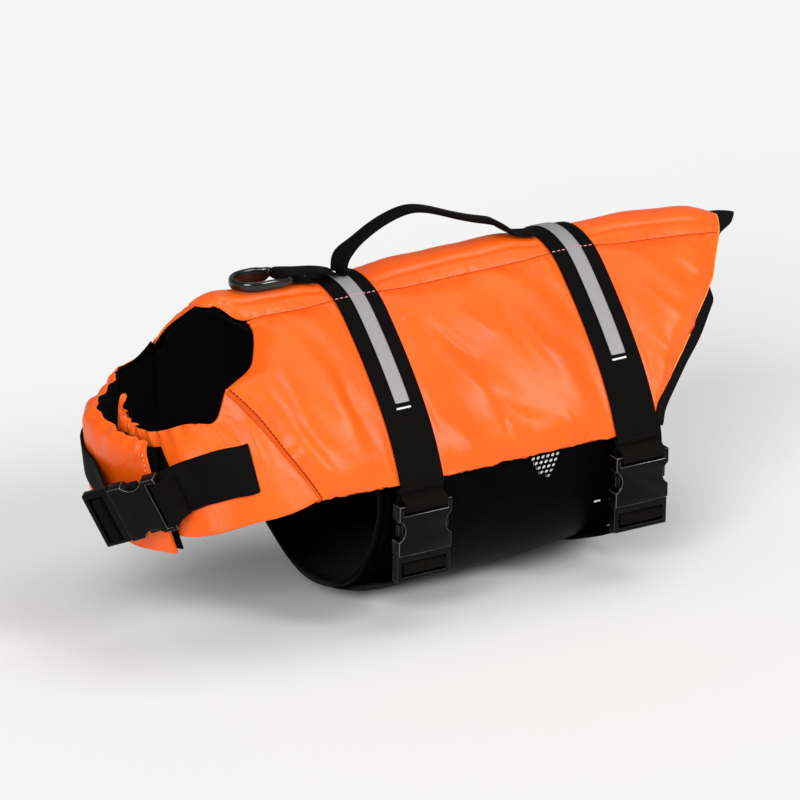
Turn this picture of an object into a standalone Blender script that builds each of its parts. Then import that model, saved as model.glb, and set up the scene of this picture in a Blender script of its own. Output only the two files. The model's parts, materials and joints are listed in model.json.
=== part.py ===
# Dog life jacket, filled out as if worn, with nothing inside it.
# +X points to the tail, -X to the head, -Y is the dog's left side, +Z is up.
# The origin is on the inner face of the lining, at the top of the back, halfway between the two belts,
# where the jacket rests on the dog's back. Sizes are in millimetres, times MM.

import math

import bmesh
import bpy
from mathutils import Matrix, Vector

MM = 0.001
LEFT = -1
RIGHT = 1

# Colours and how rough each surface is
ORANGE = (1.0, 0.17, 0.02)
BLACK = (0.008, 0.008, 0.008)
PLASTIC = (0.014, 0.013, 0.013)
SILVER_GREY = (0.40, 0.39, 0.39)
SHELL_ROUGH = 0.42
MESH_ROUGH = 0.9
BELLY_ROUGH = 0.85
WEBBING_ROUGH = 0.75
STRIP_ROUGH = 0.35
PLASTIC_ROUGH = 0.38

# Cloth and seams
SEAM_GAP = 0.3 * MM
LAY_GAP = 0.5 * MM
LINING_GAP = 0.7 * MM
LINING_THICK = 1.0 * MM
PAD_DEPTH = 7.0 * MM
BACK_TOP = PAD_DEPTH + LINING_GAP + LINING_THICK
LINING_INSET = 1.5 * MM
LINING_REAR_INSET = 1.0 * MM
LINING_HEM = 3.0 * MM
LINING_UNDER_FLAP = 4.5 * MM
EDGE_TUCK = 2.5 * MM
NECK_TUCK = 5.0 * MM
EDGE_ROLL = 14.0 * MM
PUFF = 5.0 * MM
BELT_ROLL = 26.0 * MM

# Webbing belts
BELT_WIDTH = 38.0 * MM
BELT_THICK = 1.8 * MM
BELT_SPACING = 194.0 * MM
BELT_FRONT_X = -BELT_SPACING / 2
BELT_REAR_X = BELT_SPACING / 2
BELT_ZONE = BELT_WIDTH / 2 + 1.5 * MM
STRIP_WIDTH = 12.5 * MM
STRIP_THICK = 0.6 * MM
STRIP_END = 118.0 * MM

# Half of the body's cross-section, measured along the cloth from the top of the back
HALF_SECTION = [
    # distance, out to the side, down from the ridge
    (0.0, 0.0, 0.0),
    (26.9, 26.0, 7.0),
    (58.8, 50.0, 28.0),
    (104.1, 80.0, 62.0),
    (142.9, 102.0, 94.0),
    (177.9, 116.0, 126.0),
    (196.0, 120.0, 143.0),
]
SPINE_SEAM = 26.9 * MM
RIDGE_HALF = 26.0 * MM
RIDGE_DROP = 7.0 * MM
HEM = 177.9 * MM
SIDE_ROWS = [27.1, 34.0, 43.0, 54.0, 66.0, 80.0, 94.0, 108.0, 122.0, 136.0, 150.0, 162.0, 171.0, 177.9]

# How the cross-section changes along the back
STATIONS = [
    # x, width scale, ridge height
    (-260.0, 0.90, 2.0),
    (-235.0, 0.93, 2.3),
    (-180.0, 0.975, 2.0),
    (-140.0, 0.99, 0.9),
    (-97.0, 1.0, 0.0),
    (97.0, 0.985, -0.5),
    (145.0, 0.98, -3.5),
    (189.0, 0.975, -7.0),
    (229.0, 0.97, -11.5),
    (262.0, 0.965, -17.0),
]

# The back stands up towards the edge of the neck
NECK_RISE = 7.0 * MM
NECK_RISE_FROM = -187.0 * MM
NECK_RISE_LENGTH = 38.0 * MM
NECK_RISE_REACH = 80.0 * MM

# The lining lies a little freer of the panels there
LINING_NECK_GAP = 0.9 * MM

# Front edge of the back and sides: neckline, then the sloping seam to the chest flap
NECK_CORNER = 80.0 * MM
NECKLINE = [
    # distance from the ridge, x
    (0.0, -222.0),
    (12.0, -217.0),
    (20.0, -205.0),
    (28.0, -190.0),
    (40.0, -190.0),
    (52.0, -195.0),
    (66.0, -205.0),
    (74.0, -218.0),
    (80.0, -231.0),
]
FLAP_SEAM = [
    # distance from the ridge, x
    (80.0, -231.0),
    (108.0, -216.0),
    (140.0, -202.0),
    (160.0, -191.0),
    (178.0, -182.0),
]
# How far the right side of the neck and its seam lie behind the left side
RIGHT_NECK = [
    # distance from the ridge, x further back
    (0.0, 0.0),
    (20.0, -9.0),
    (45.0, -17.0),
    (66.0, -11.0),
    (80.0, 9.0),
    (120.0, 11.0),
    (178.0, 4.0),
]
# The right side hangs a little lower in front of the front belt
RIGHT_SAG = 19.0 * MM
SAG_LENGTH = 60.0 * MM

# Rear edge, from the tail point to the hem
REAR_EDGE = [
    # distance from the ridge, x
    (0.0, 246.0),
    (12.0, 241.0),
    (31.0, 230.0),
    (52.0, 216.5),
    (70.0, 205.5),
    (94.0, 182.5),
    (120.0, 161.5),
    (138.0, 142.0),
    (155.0, 126.0),
    (167.0, 119.0),
    (178.0, 113.0),
]

# Black edge behind the tail opening: narrow at each side of the croup, wide at the tail point
TAIL_EDGE_GAP = 0.5 * MM
TAIL_EDGE_HIGH = -3.0 * MM
TAIL_EDGE_LOW = -6.0 * MM
TAIL_EDGE_WIDTH = 10.0 * MM
TAIL_NARROW_AT = 52.0 * MM
TAIL_NARROW_BY = 7.5 * MM
TAIL_NARROW_REACH = 16.0 * MM
TAIL_POINT_MORE = 5.0 * MM
TAIL_POINT_REACH = 12.0 * MM

# Creases that stand up in the padded sides, from one end to the other
SIDE_FOLDS = [
    # x start, distance start, x end, distance end, half width, height
    (-66.0, 60.0, 20.0, 150.0, 9.0, 2.4),
    (-34.0, 40.0, 52.0, 128.0, 8.0, 1.8),
    (-60.0, 100.0, -14.0, 160.0, 8.0, 1.6),
    (-180.0, 45.0, -150.0, 140.0, 12.0, 2.6),
    (-140.0, 60.0, -128.0, 150.0, 7.0, -1.6),
    (150.0, 50.0, 190.0, 110.0, 11.0, 1.8),
    (135.0, 120.0, 165.0, 90.0, 9.0, 1.5),
    (-10.0, 174.0, -4.0, 158.0, 5.0, -1.6),
    (34.0, 174.0, 40.0, 156.0, 5.0, -1.6),
]
RIGHT_FOLD_SHIFT = 9.0 * MM
RIGHT_FOLD_SCALE = 0.85
SPINE_CREASE = 13.0 * MM
SPINE_CREASE_WIDTH = 4.0 * MM
SPINE_CREASE_DEPTH = 1.4 * MM

# Left chest flap, the inner one, from its sloping seam to its free end
LEFT_FLAP = [
    # collar x, y, z, lower edge x, y, z, bulge
    (-243.0, -61.0, -57.0, -209.0, -113.0, -121.0, 12.0),
    (-260.0, -52.0, -58.0, -237.0, -107.0, -125.0, 11.0),
    (-272.0, -38.0, -65.0, -261.0, -97.0, -132.0, 9.0),
    (-279.0, -25.0, -69.0, -273.0, -82.0, -137.0, 6.0),
    (-283.0, -8.0, -68.0, -278.0, -64.0, -140.0, 4.0),
    (-282.0, 6.0, -66.0, -283.0, -40.0, -142.0, 3.0),
    (-280.0, 12.0, -51.0, -284.0, 10.0, -142.0, 2.0),
]
# Right chest flap, the outer one
RIGHT_FLAP = [
    # collar x, y, z, lower edge x, y, z, bulge
    (-242.0, 60.0, -48.0, -206.0, 110.0, -128.0, 9.0),
    (-251.0, 58.0, -54.0, -226.0, 104.0, -131.0, 8.0),
    (-261.0, 50.0, -62.0, -250.0, 93.0, -134.0, 7.0),
    (-288.0, 31.0, -64.0, -272.0, 68.0, -140.0, 9.0),
    (-299.0, 14.0, -65.5, -283.0, 38.0, -147.0, 8.0),
    (-302.0, -15.0, -67.0, -291.0, 0.0, -153.0, 7.0),
    (-300.0, -32.0, -68.0, -291.5, -26.0, -157.0, 6.0),
    (-297.0, -46.0, -68.5, -283.0, -66.0, -153.0, 5.0),
]
FLAP_DEPTH = 4.0 * MM
FLAP_SEAM_GAP = 1.0 * MM
FLAP_LINING_DEPTH = 5.0 * MM
FLAP_LINING_END = 5.0 * MM
FLAP_COLUMNS = 45
FLAP_ROWS = (0.0, 0.06, 0.14, 0.26, 0.42, 0.6, 0.78, 0.92, 1.0)
COLLAR_GATHERS = 11
COLLAR_WAVE = 1.4 * MM
UNEVEN_GATHERS = 5.3
UNEVEN_SHARE = 0.4
SEAM_BULGE = 12.0
SEAM_BLEND = 2.2
COLLAR_TUCK = 3.0 * MM
COLLAR_THIN = 2.0 * MM
LEFT_BULGE_HEIGHT = 0.75
RIGHT_BULGE_HEIGHT = 0.42

# Belly panel, half of its cross-section
BELLY_SECTION = [
    # out to the side, height
    (0.0, -238.0),
    (45.0, -230.0),
    (78.0, -207.0),
    (98.0, -176.0),
    (106.0, -148.0),
    (106.5, -130.0),
    (103.5, -117.0),
    (99.0, -104.0),
]
BELLY_STATIONS = [
    # x, width scale, depth scale, right side's width scale near the bottom
    (-118.0, 0.955, 0.875, 0.80),
    (-108.0, 0.975, 0.9, 0.82),
    (-90.0, 0.99, 0.925, 0.86),
    (-40.0, 1.0, 0.965, 0.94),
    (0.0, 1.0, 0.97, 0.98),
    (97.0, 0.99, 0.945, 1.0),
    (120.0, 0.975, 0.94, 1.0),
]
BELLY_SCALED_BELOW = -124.0
BELLY_THICK = 3.0 * MM
BINDING_WIDTH = 6.0 * MM
BINDING_GAP = 0.4 * MM
BINDING_PROUD = 0.6 * MM
BELLY_COLUMNS = [-118.0, -113.0, -106.0, -92.0, -66.0, -40.0, -10.0, 25.0, 60.0, 90.0, 108.0, 120.0]

# Where the belt dips behind the top of its buckle, from its end up to the hem
BELT_TUCK = [
    # y, z
    (-110.9, -141.0),
    (-110.9, -134.5),
    (-111.3, -130.4),
    (-114.6, -126.4),
    (-117.4, -122.4),
]
BELT_TAIL = 13.0 * MM
STRIP_GAP = 0.45 * MM

# Belly straps: where they hang behind the lower end of the buckle, from the end down
STRAP_TUCK = [
    # y, z
    (-110.6, -183.0),
    (-110.2, -193.0),
    (-105.5, -197.6),
]
BELLY_HALF_ROWS = 14
STRAP_FIRST = 2
STRAP_LAST = 7
STRAP_REACH = 4.0 * MM

# Leash ring and its loop
RING_X = -146.0 * MM
RING_HEIGHT = 20.0 * MM
RING_TILT = math.radians(1.0)
RING_BAR = 4.6 * MM
RING_TALL = 7.6 * MM
RING_WIDTH = 31.0 * MM
RING_LENGTH = 37.0 * MM
LOOP_WIDTH = 21.0 * MM
LOOP_THICK = 1.6 * MM
LOOP_UNDER = [
    # x, z, along the back and up to the ring
    (-121.0, 12.4),
    (-128.0, 14.6),
    (-136.0, 16.4),
]
LOOP_OVER = [
    # x, z, from the ring to the foot of the handle
    (-137.0, 22.2),
    (-128.0, 20.2),
    (-117.0, 18.9),
    (-107.0, 16.8),
    (-98.0, 13.6),
]

# Handle, along the middle of the back
HANDLE_PATH = [
    # x, z
    (-94.0, 12.6),
    (-94.0, 19.0),
    (-91.0, 26.5),
    (-81.0, 33.5),
    (-66.0, 42.0),
    (-50.0, 48.0),
    (-32.0, 51.0),
    (-14.0, 46.8),
    (4.0, 39.5),
    (22.0, 32.8),
    (36.0, 28.6),
    (44.0, 25.6),
    (50.0, 21.4),
    (55.0, 17.0),
    (61.0, 13.8),
    (69.0, 11.9),
    (77.3, 10.6),
]
HANDLE_FLAT_FROM = 52.0 * MM
HANDLE_FLAT_BLEND = 10.0 * MM
HANDLE_GRIP_FROM = -92.0 * MM
HANDLE_GRIP_TO = 34.0 * MM
HANDLE_FRONT_BLEND = 14.0 * MM
HANDLE_REAR_BLEND = 22.0 * MM
HANDLE_GRIP_WIDTH = 14.0 * MM
HANDLE_FOOT_WIDTH = 21.0 * MM
HANDLE_THICK = 4.0 * MM

# Side-release buckles for this webbing
BUCKLE_WIDTH = 47.0 * MM
SOCKET_LENGTH = 40.0 * MM
PLUG_LENGTH = 21.0 * MM
SOCKET_THICK = 11.0 * MM
PLUG_THICK = 8.0 * MM
BUCKLE_EDGE = 1.2 * MM
CAVITY_WIDTH = 39.0 * MM
CAVITY_THICK = 6.4 * MM
CAVITY_DEPTH = 29.0 * MM
SLOT_WIDTH = 40.0 * MM
SLOT_HEIGHT = 4.6 * MM
SOCKET_BAR = 3.4 * MM
NOTCH_RADIUS = 9.5 * MM
NOTCH_PLACE = 20.0 * MM
PRONG_THICK = 5.2 * MM
GUIDE_WIDTH = 9.0 * MM
PAD_HALF = 4.2 * MM
PAD_EDGE = 0.8 * MM
PRONG_WIDTH = 5.2 * MM
PRONG_CLEAR = 0.7 * MM
PLUG_SLOTS = (5.0 * MM, 12.8 * MM)
BUCKLE_SMOOTH = 30.0

# Where the buckles sit: the middle of each, its direction from socket to plug, and the way it faces
BELT_BUCKLE_Y = -118.0 * MM
BELT_BUCKLE_TOP = -131.5 * MM
BELT_BUCKLE_LEAN = 0.04
NECK_BUCKLE = Vector((-313.5, -54.0, -115.5)) * MM
NECK_ALONG = Vector((-0.556, 0.746, -0.365))
NECK_OUT = Vector((-0.716, -0.653, -0.242))

# Neck straps on the chest flaps: place along the flap and down it
LEFT_STRAP_START = 0.17
LEFT_STRAP_STOP = 0.42
LEFT_STRAP_DOWN = 0.53
LEFT_STRAP_SKEW = 0.05
RIGHT_STRAP_START = 0.16
RIGHT_STRAP_STOP = 0.68
RIGHT_STRAP_DOWN = 0.56
STRAP_HALF = 0.24
NECK_STRAP_BEHIND = 16.0 * MM
STRAP_GAP = 1.4 * MM
STRAP_ROWS = 13
PATCH_FIRST = 22
PATCH_LAST = 33
PATCH_THICK = 1.0 * MM
PATCH_GAP = 0.9 * MM


def curve_at(rows, key, column):
    # Smooth curve through the rows of a table, read where its first column (in mm) is the key (in metres)
    keys = [row[0] * MM for row in rows]
    values = [row[column] for row in rows]
    place = max(keys[0], min(keys[-1], key))
    index = 0
    while index < len(keys) - 2 and place > keys[index + 1]:
        index += 1
    span = keys[index + 1] - keys[index]
    part = (place - keys[index]) / span

    def slope(at):
        low = max(at - 1, 0)
        high = min(at + 1, len(keys) - 1)
        return (values[high] - values[low]) / (keys[high] - keys[low])

    start = slope(index) * span
    end = slope(index + 1) * span
    square = part * part
    cube = square * part
    return ((2 * cube - 3 * square + 1) * values[index] + (cube - 2 * square + part) * start
            + (3 * square - 2 * cube) * values[index + 1] + (cube - square) * end)


def smooth(part):
    part = max(0.0, min(1.0, part))
    return part * part * (3 - 2 * part)


def skin(x, along):
    # A point of the outer cloth: along is the signed distance from the ridge, minus on the left
    reach = abs(along)
    side = LEFT if along < 0 else RIGHT
    width = curve_at(STATIONS, x, 1)
    ridge = curve_at(STATIONS, x, 2) * MM + BACK_TOP
    rise = NECK_RISE * smooth((NECK_RISE_FROM - x) / NECK_RISE_LENGTH)
    ridge += rise * (1 - smooth(reach / NECK_RISE_REACH))
    if reach < SPINE_SEAM:
        sideways = RIDGE_HALF * reach / SPINE_SEAM
        drop = RIDGE_DROP * (reach / SPINE_SEAM) ** 2
    else:
        sideways = curve_at(HALF_SECTION, reach, 1) * MM
        drop = curve_at(HALF_SECTION, reach, 2) * MM
    sag = 0.0
    if side == RIGHT:
        sag = RIGHT_SAG * smooth((BELT_FRONT_X - x) / SAG_LENGTH) * (reach / HEM) ** 3
    return Vector((x, side * sideways * width, ridge - drop - sag))


def skin_out(x, along):
    # The direction that points out of the cloth there
    step = 1.0 * MM
    lengthwise = skin(x + step, along) - skin(x - step, along)
    across = skin(x, along + step) - skin(x, along - step)
    out = lengthwise.cross(across)
    return out.normalized()


def on_skin(x, along, lift):
    return skin(x, along) + skin_out(x, along) * lift


def front_edge(along):
    reach = abs(along)
    shift = curve_at(RIGHT_NECK, reach, 1) * MM if along > 0 else 0.0
    rows = FLAP_SEAM if reach > NECK_CORNER else NECKLINE
    return curve_at(rows, reach, 1) * MM + shift


def rear_edge(along):
    return curve_at(REAR_EDGE, abs(along), 1) * MM


def belt_rise(x):
    # 0 under a belt, 1 well clear of it
    clear = min(abs(x - BELT_FRONT_X), abs(x - BELT_REAR_X)) - BELT_ZONE
    return smooth(clear / BELT_ROLL) if clear > 0 else 0.0


def fold_height(x, along, side):
    # The creases of the right side lie a little further back and are a little lower
    shift = RIGHT_FOLD_SHIFT if side == RIGHT else 0.0
    scale = RIGHT_FOLD_SCALE if side == RIGHT else 1.0
    total = 0.0
    for x0, a0, x1, a1, width, height in SIDE_FOLDS:
        start = Vector((x0 * MM + shift, a0 * MM))
        end = Vector((x1 * MM + shift, a1 * MM))
        run = end - start
        point = Vector((x, abs(along)))
        part = max(0.0, min(1.0, (point - start).dot(run) / run.length_squared))
        away = (point - start - run * part).length
        fade = math.sin(math.pi * (0.12 + 0.76 * part))
        total += height * MM * scale * fade * math.exp(-(away / (width * MM)) ** 2)
    return total


def pad_lift(x, along, edges, side=0):
    # How far the padded cloth stands above the skin: tucked at its edges, pressed down by the belts
    near = min(edges)
    full = smooth(near / EDGE_ROLL)
    rise = belt_rise(x)
    folds = fold_height(x, along, side) * full * min(1.0, rise * 2) if side else 0.0
    neck = 1 - smooth((x - front_edge(along)) / EDGE_ROLL) if abs(along) < NECK_CORNER + 1.0 * MM else 0.0
    tuck = EDGE_TUCK + (NECK_TUCK - EDGE_TUCK) * neck
    return PUFF * rise * full - tuck * (1 - full) * rise + folds


def finish(made, colour, roughness, metallic, smooth_angle):
    # Smooth shading and a material of its own
    made.data.shade_smooth()
    made.data.set_sharp_from_angle(angle=math.radians(smooth_angle))
    material = bpy.data.materials.new(made.name + "_finish")
    material.use_nodes = True
    shader = material.node_tree.nodes["Principled BSDF"]
    shader.inputs["Base Color"].default_value = (*colour, 1.0)
    shader.inputs["Roughness"].default_value = roughness
    shader.inputs["Metallic"].default_value = metallic
    made.data.materials.clear()
    made.data.materials.append(material)


def add_mesh(name, mesh_data, colour, roughness, metallic=0.0, smooth_angle=40.0):
    # A new object with its own material, from a bmesh
    bmesh.ops.recalc_face_normals(mesh_data, faces=mesh_data.faces)
    mesh = bpy.data.meshes.new(name)
    mesh_data.to_mesh(mesh)
    mesh_data.free()
    made = bpy.data.objects.new(name, mesh)
    bpy.context.scene.collection.objects.link(made)
    finish(made, colour, roughness, metallic, smooth_angle)
    return made


def wall(outer, inner):
    # A closed wall between two grids of points that match row by row
    made = bmesh.new()
    top = [[made.verts.new(point) for point in row] for row in outer]
    low = [[made.verts.new(point) for point in row] for row in inner]
    rows = len(top)
    columns = len(top[0])
    for r in range(rows - 1):
        for c in range(columns - 1):
            made.faces.new((top[r][c], top[r][c + 1], top[r + 1][c + 1], top[r + 1][c]))
            made.faces.new((low[r][c], low[r + 1][c], low[r + 1][c + 1], low[r][c + 1]))
    for r in range(rows - 1):
        made.faces.new((top[r][0], top[r + 1][0], low[r + 1][0], low[r][0]))
        made.faces.new((top[r + 1][-1], top[r][-1], low[r][-1], low[r + 1][-1]))
    for c in range(columns - 1):
        made.faces.new((top[0][c + 1], top[0][c], low[0][c], low[0][c + 1]))
        made.faces.new((top[-1][c], top[-1][c + 1], low[-1][c + 1], low[-1][c]))
    return made


def sweep(sections, closed=False):
    # A closed solid through rings of points, with flat ends unless the path closes on itself
    made = bmesh.new()
    rings = [[made.verts.new(point) for point in ring] for ring in sections]
    count = len(rings)
    sides = len(rings[0])
    for index in range(count if closed else count - 1):
        here = rings[index]
        after = rings[(index + 1) % count]
        for k in range(sides):
            made.faces.new((here[k], here[(k + 1) % sides], after[(k + 1) % sides], after[k]))
    if not closed:
        made.faces.new(rings[0])
        made.faces.new(list(reversed(rings[-1])))
    return made


def ribbon(points, across, widths, thick):
    # A strip of webbing: its middle line, its width direction, its width at each point, its thickness
    sections = []
    for index, point in enumerate(points):
        before = points[max(index - 1, 0)]
        after = points[min(index + 1, len(points) - 1)]
        out = (after - before).cross(across).normalized()
        half = across * (widths[index] / 2)
        lift = out * (thick / 2)
        low = point - lift
        top = point + lift
        sections.append([low - half, low + half, top + half, top - half])
    return sweep(sections)


def spread(start, end, count):
    return [start + (end - start) * index / (count - 1) for index in range(count)]


def zones(along):
    # The x of each column of a side panel, with straight columns at and between the belts
    front = front_edge(along)
    rear = rear_edge(along)
    belt1 = BELT_FRONT_X - BELT_ZONE
    belt2 = BELT_REAR_X - BELT_ZONE
    width = 2 * BELT_ZONE
    places = spread(front, belt1, 7)[:-1]
    places += spread(belt1, belt1 + width, 3)
    places += spread(belt1 + width, belt2, 14)[1:-1]
    last = min(belt2 + width, rear - 4.0 * MM)
    places += spread(belt2, last, 3)
    places += spread(last, rear, 7)[1:]
    return places


def edge_distances(x, along, low, high):
    return [x - front_edge(along), rear_edge(along) - x, abs(along) - low, high - abs(along)]


def cloth_rows(limit):
    # Signed distances from the ridge where the cloth has its points, as far as the limit on both sides
    seam = SPINE_SEAM - SEAM_GAP
    right = [row * MM for row in SIDE_ROWS if row * MM < limit - 0.5 * MM] + [limit]
    return [-row for row in reversed(right)] + spread(-seam, seam, 9) + right


def side_panel(name, side):
    # Foam-padded side, from the back seam down to the hem
    outer = []
    inner = []
    for distance in SIDE_ROWS:
        along = side * distance * MM
        row_out = []
        row_in = []
        for x in zones(along):
            edges = edge_distances(x, along, SPINE_SEAM, HEM)
            row_out.append(on_skin(x, along, pad_lift(x, along, edges, side)))
            row_in.append(on_skin(x, along, -PAD_DEPTH))
        outer.append(row_out)
        inner.append(row_in)
    return add_mesh(name, wall(outer, inner), ORANGE, SHELL_ROUGH)


def back_panel():
    # Padded strip along the spine, with a soft crease on each side of its middle
    edge = SPINE_SEAM - SEAM_GAP
    outer = []
    inner = []
    for along in spread(-edge, edge, 9):
        row_out = []
        row_in = []
        for x in zones(along):
            edges = edge_distances(x, along, -1.0, SPINE_SEAM)
            crease = math.exp(-((abs(along) - SPINE_CREASE) / SPINE_CREASE_WIDTH) ** 2)
            lift = pad_lift(x, along, edges) - SPINE_CREASE_DEPTH * crease * belt_rise(x)
            row_out.append(on_skin(x, along, lift))
            row_in.append(on_skin(x, along, -PAD_DEPTH))
        outer.append(row_out)
        inner.append(row_in)
    return add_mesh("back_panel", wall(outer, inner), ORANGE, SHELL_ROUGH)


def lining():
    # One black wall under the back and both sides, from hem to hem
    depth = PAD_DEPTH + LINING_GAP
    reach = HEM - LINING_HEM
    outer = []
    inner = []
    for along in spread(-reach, reach, 19):
        under_flap = LINING_UNDER_FLAP * smooth((abs(along) - NECK_CORNER) / (14.0 * MM) - 0.3)
        start = front_edge(along) + LINING_INSET - under_flap
        columns = zones(along)
        places = [start] + columns[1:6]
        places += spread(columns[6], rear_edge(along) - LINING_REAR_INSET, 9)
        near_neck = [smooth((NECK_RISE_FROM - x) / NECK_RISE_LENGTH + 0.5) for x in places]
        lifts = [-depth - LINING_NECK_GAP * part for part in near_neck]
        outer.append([on_skin(x, along, lift) for x, lift in zip(places, lifts)])
        inner.append([on_skin(x, along, lift - LINING_THICK) for x, lift in zip(places, lifts)])
    return add_mesh("lining", wall(outer, inner), BLACK, MESH_ROUGH)


def tail_binding():
    # Black edge that stands out behind the tail opening, widest at the tail point
    sections = []
    for along in cloth_rows(HEM - 1.0 * MM):
        x = rear_edge(along) + TAIL_EDGE_GAP
        near = abs(along)
        narrow = math.exp(-((near - TAIL_NARROW_AT) / TAIL_NARROW_REACH) ** 2)
        width = TAIL_EDGE_WIDTH - TAIL_NARROW_BY * narrow
        width += TAIL_POINT_MORE * math.exp(-(near / TAIL_POINT_REACH) ** 2)
        top = on_skin(x, along, TAIL_EDGE_HIGH)
        low = on_skin(x, along, TAIL_EDGE_LOW)
        back = Vector((width, 0.0, 0.0))
        sections.append([low, top, top + back, low + back])
    return add_mesh("tail_binding", sweep(sections), BLACK, MESH_ROUGH)


def flap_tables(side):
    return LEFT_FLAP if side == LEFT else RIGHT_FLAP


def flap_base(part, down, side):
    # A point between the collar and the lower edge: part runs from the seam (0) to the free end (1)
    table = [(index * 1000.0,) + row for index, row in enumerate(flap_tables(side), 1)]
    seam_top = skin_seam(0.0, side)
    seam_low = skin_seam(1.0, side)
    first = (0.0, *(seam_top / MM), *(seam_low / MM), SEAM_BULGE)
    rows = [first] + table
    key = part * (len(rows) - 1)
    read = [curve_at(rows, key, column) for column in range(1, 8)]
    collar = Vector(read[0:3]) * MM
    lower = Vector(read[3:6]) * MM
    return collar.lerp(lower, down), read[6] * MM


def skin_seam(down, side):
    # The sloping seam where the flap meets the side panel
    along = side * (NECK_CORNER + (HEM - NECK_CORNER) * down)
    return skin(front_edge(along), along)


def collar_fade(down):
    # The gathers are strongest at the collar and die out down the flap
    return max(0.0, 1 - down / 0.3) ** 1.5


def corner_fade(part, down):
    # The collar tucks in where it meets the neckline
    return (1 - smooth(down / 0.3)) * (1 - smooth(part / 0.3))


def flap_point(part, down, side, gathers=1.0):
    base, bulge = flap_base(part, down, side)
    step = 0.004
    after = flap_base(min(part + step, 1.0), down, side)[0]
    before = flap_base(max(part - step, 0.0), down, side)[0]
    ahead = after - before
    below = flap_base(part, 1.0, side)[0] - flap_base(part, 0.0, side)[0]
    out = below.cross(ahead).normalized() * side
    fade = (1 - min(1.0, part * SEAM_BLEND)) ** 2
    seam_along = side * (NECK_CORNER + (HEM - NECK_CORNER) * down)
    seam_out = skin_out(front_edge(seam_along), seam_along)
    out = (out * (1 - fade) + seam_out * fade).normalized()
    height = LEFT_BULGE_HEIGHT if side == LEFT else RIGHT_BULGE_HEIGHT
    puff = bulge * math.sin(math.pi * down ** height) * (1 - fade)
    wave_fade = gathers * collar_fade(down) * smooth(part * 5 - 0.5)
    wave = math.sin(2 * math.pi * COLLAR_GATHERS * part)
    wave += UNEVEN_SHARE * math.sin(2 * math.pi * UNEVEN_GATHERS * part + 1.0)
    correction = (skin_seam(down, side) - flap_base(0.0, down, side)[0]) * fade
    puff -= COLLAR_TUCK * corner_fade(part, down)
    return base + correction + out * (puff + COLLAR_WAVE * wave * wave_fade), out


def flap(name, side):
    # Chest flap: a padded wall from the sloping seam round the front of the chest
    outer = []
    inner = []
    for part in spread(0.0, 1.0, FLAP_COLUMNS):
        shift = Vector((-FLAP_SEAM_GAP, 0.0, 0.0)) * (1 - part)
        row_out = []
        row_in = []
        for down in FLAP_ROWS:
            point, out = flap_point(part, down, side)
            row_out.append(point + shift)
            row_in.append(point + shift - out * (FLAP_DEPTH - COLLAR_THIN * corner_fade(part, down)))
        outer.append(row_out)
        inner.append(row_in)
    return add_mesh(name, wall(outer, inner), ORANGE, SHELL_ROUGH)


def flap_lining(name, side):
    # Black cloth inside the flap; it keeps clear of the gathers at the collar
    outer = []
    inner = []
    for part in spread(0.0, 1.0, 23):
        shift = Vector((-FLAP_SEAM_GAP, 0.0, 0.0)) * (1 - part)
        row_out = []
        row_in = []
        for down in (0.05, 0.14, 0.26, 0.42, 0.6, 0.78, 0.97):
            point, out = flap_point(part, down, side, 0.0)
            depth = FLAP_LINING_DEPTH - COLLAR_THIN * corner_fade(part, down)
            depth += 2.0 * COLLAR_WAVE * collar_fade(down) * smooth(part * 5 - 0.5)
            row_out.append(point + shift - out * depth)
            row_in.append(point + shift - out * (depth + LINING_THICK))
        outer.append(row_out)
        inner.append(row_in)
    if side == RIGHT:
        # Its end stands out past the orange cloth
        for rows in (outer, inner):
            rows.append([last + (last - before).normalized() * FLAP_LINING_END
                         for before, last in zip(rows[-2], rows[-1])])
    return add_mesh(name, wall(outer, inner), BLACK, MESH_ROUGH)


def belly_point(x, part, lift):
    # part runs from -1 at the left top edge, past 0 at the bottom, to 1 at the right top edge
    rows = [(index * 1000.0,) + row for index, row in enumerate(BELLY_SECTION)]
    key = abs(part) * (len(rows) - 1)
    narrow = 1.0 - curve_at(BELLY_STATIONS, x, 3) if part > 0 else 0.0
    step = 0.02

    def at(place):
        place = max(0.0, min(len(rows) - 1.0, place))
        wide = curve_at(BELLY_STATIONS, x, 1)
        deep = curve_at(BELLY_STATIONS, x, 2)
        wide *= 1.0 - narrow * smooth((6.0 - place) / 3.0)
        height = curve_at(rows, place, 2)
        if height < BELLY_SCALED_BELOW:
            height = BELLY_SCALED_BELOW + (height - BELLY_SCALED_BELOW) * deep
        return Vector((x, curve_at(rows, place, 1) * wide * MM, height * MM))

    middle = at(key)
    ahead = at(key + step) - at(key - step)
    if abs(part) < 0.001:
        ahead = Vector((0.0, 1.0, 0.0))
    out = Vector((0.0, ahead.z, -ahead.y)).normalized()
    point = middle + out * lift
    if part < 0:
        point.y = -point.y
    return point


def belly_panel():
    outer = []
    inner = []
    for x in BELLY_COLUMNS:
        parts = spread(-1.0, 1.0, 2 * BELLY_HALF_ROWS + 1)
        outer.append([belly_point(x * MM, part, 0.0) for part in parts])
        inner.append([belly_point(x * MM, part, -BELLY_THICK) for part in parts])
    return add_mesh("belly_panel", wall(outer, inner), BLACK, BELLY_ROUGH)


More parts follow.
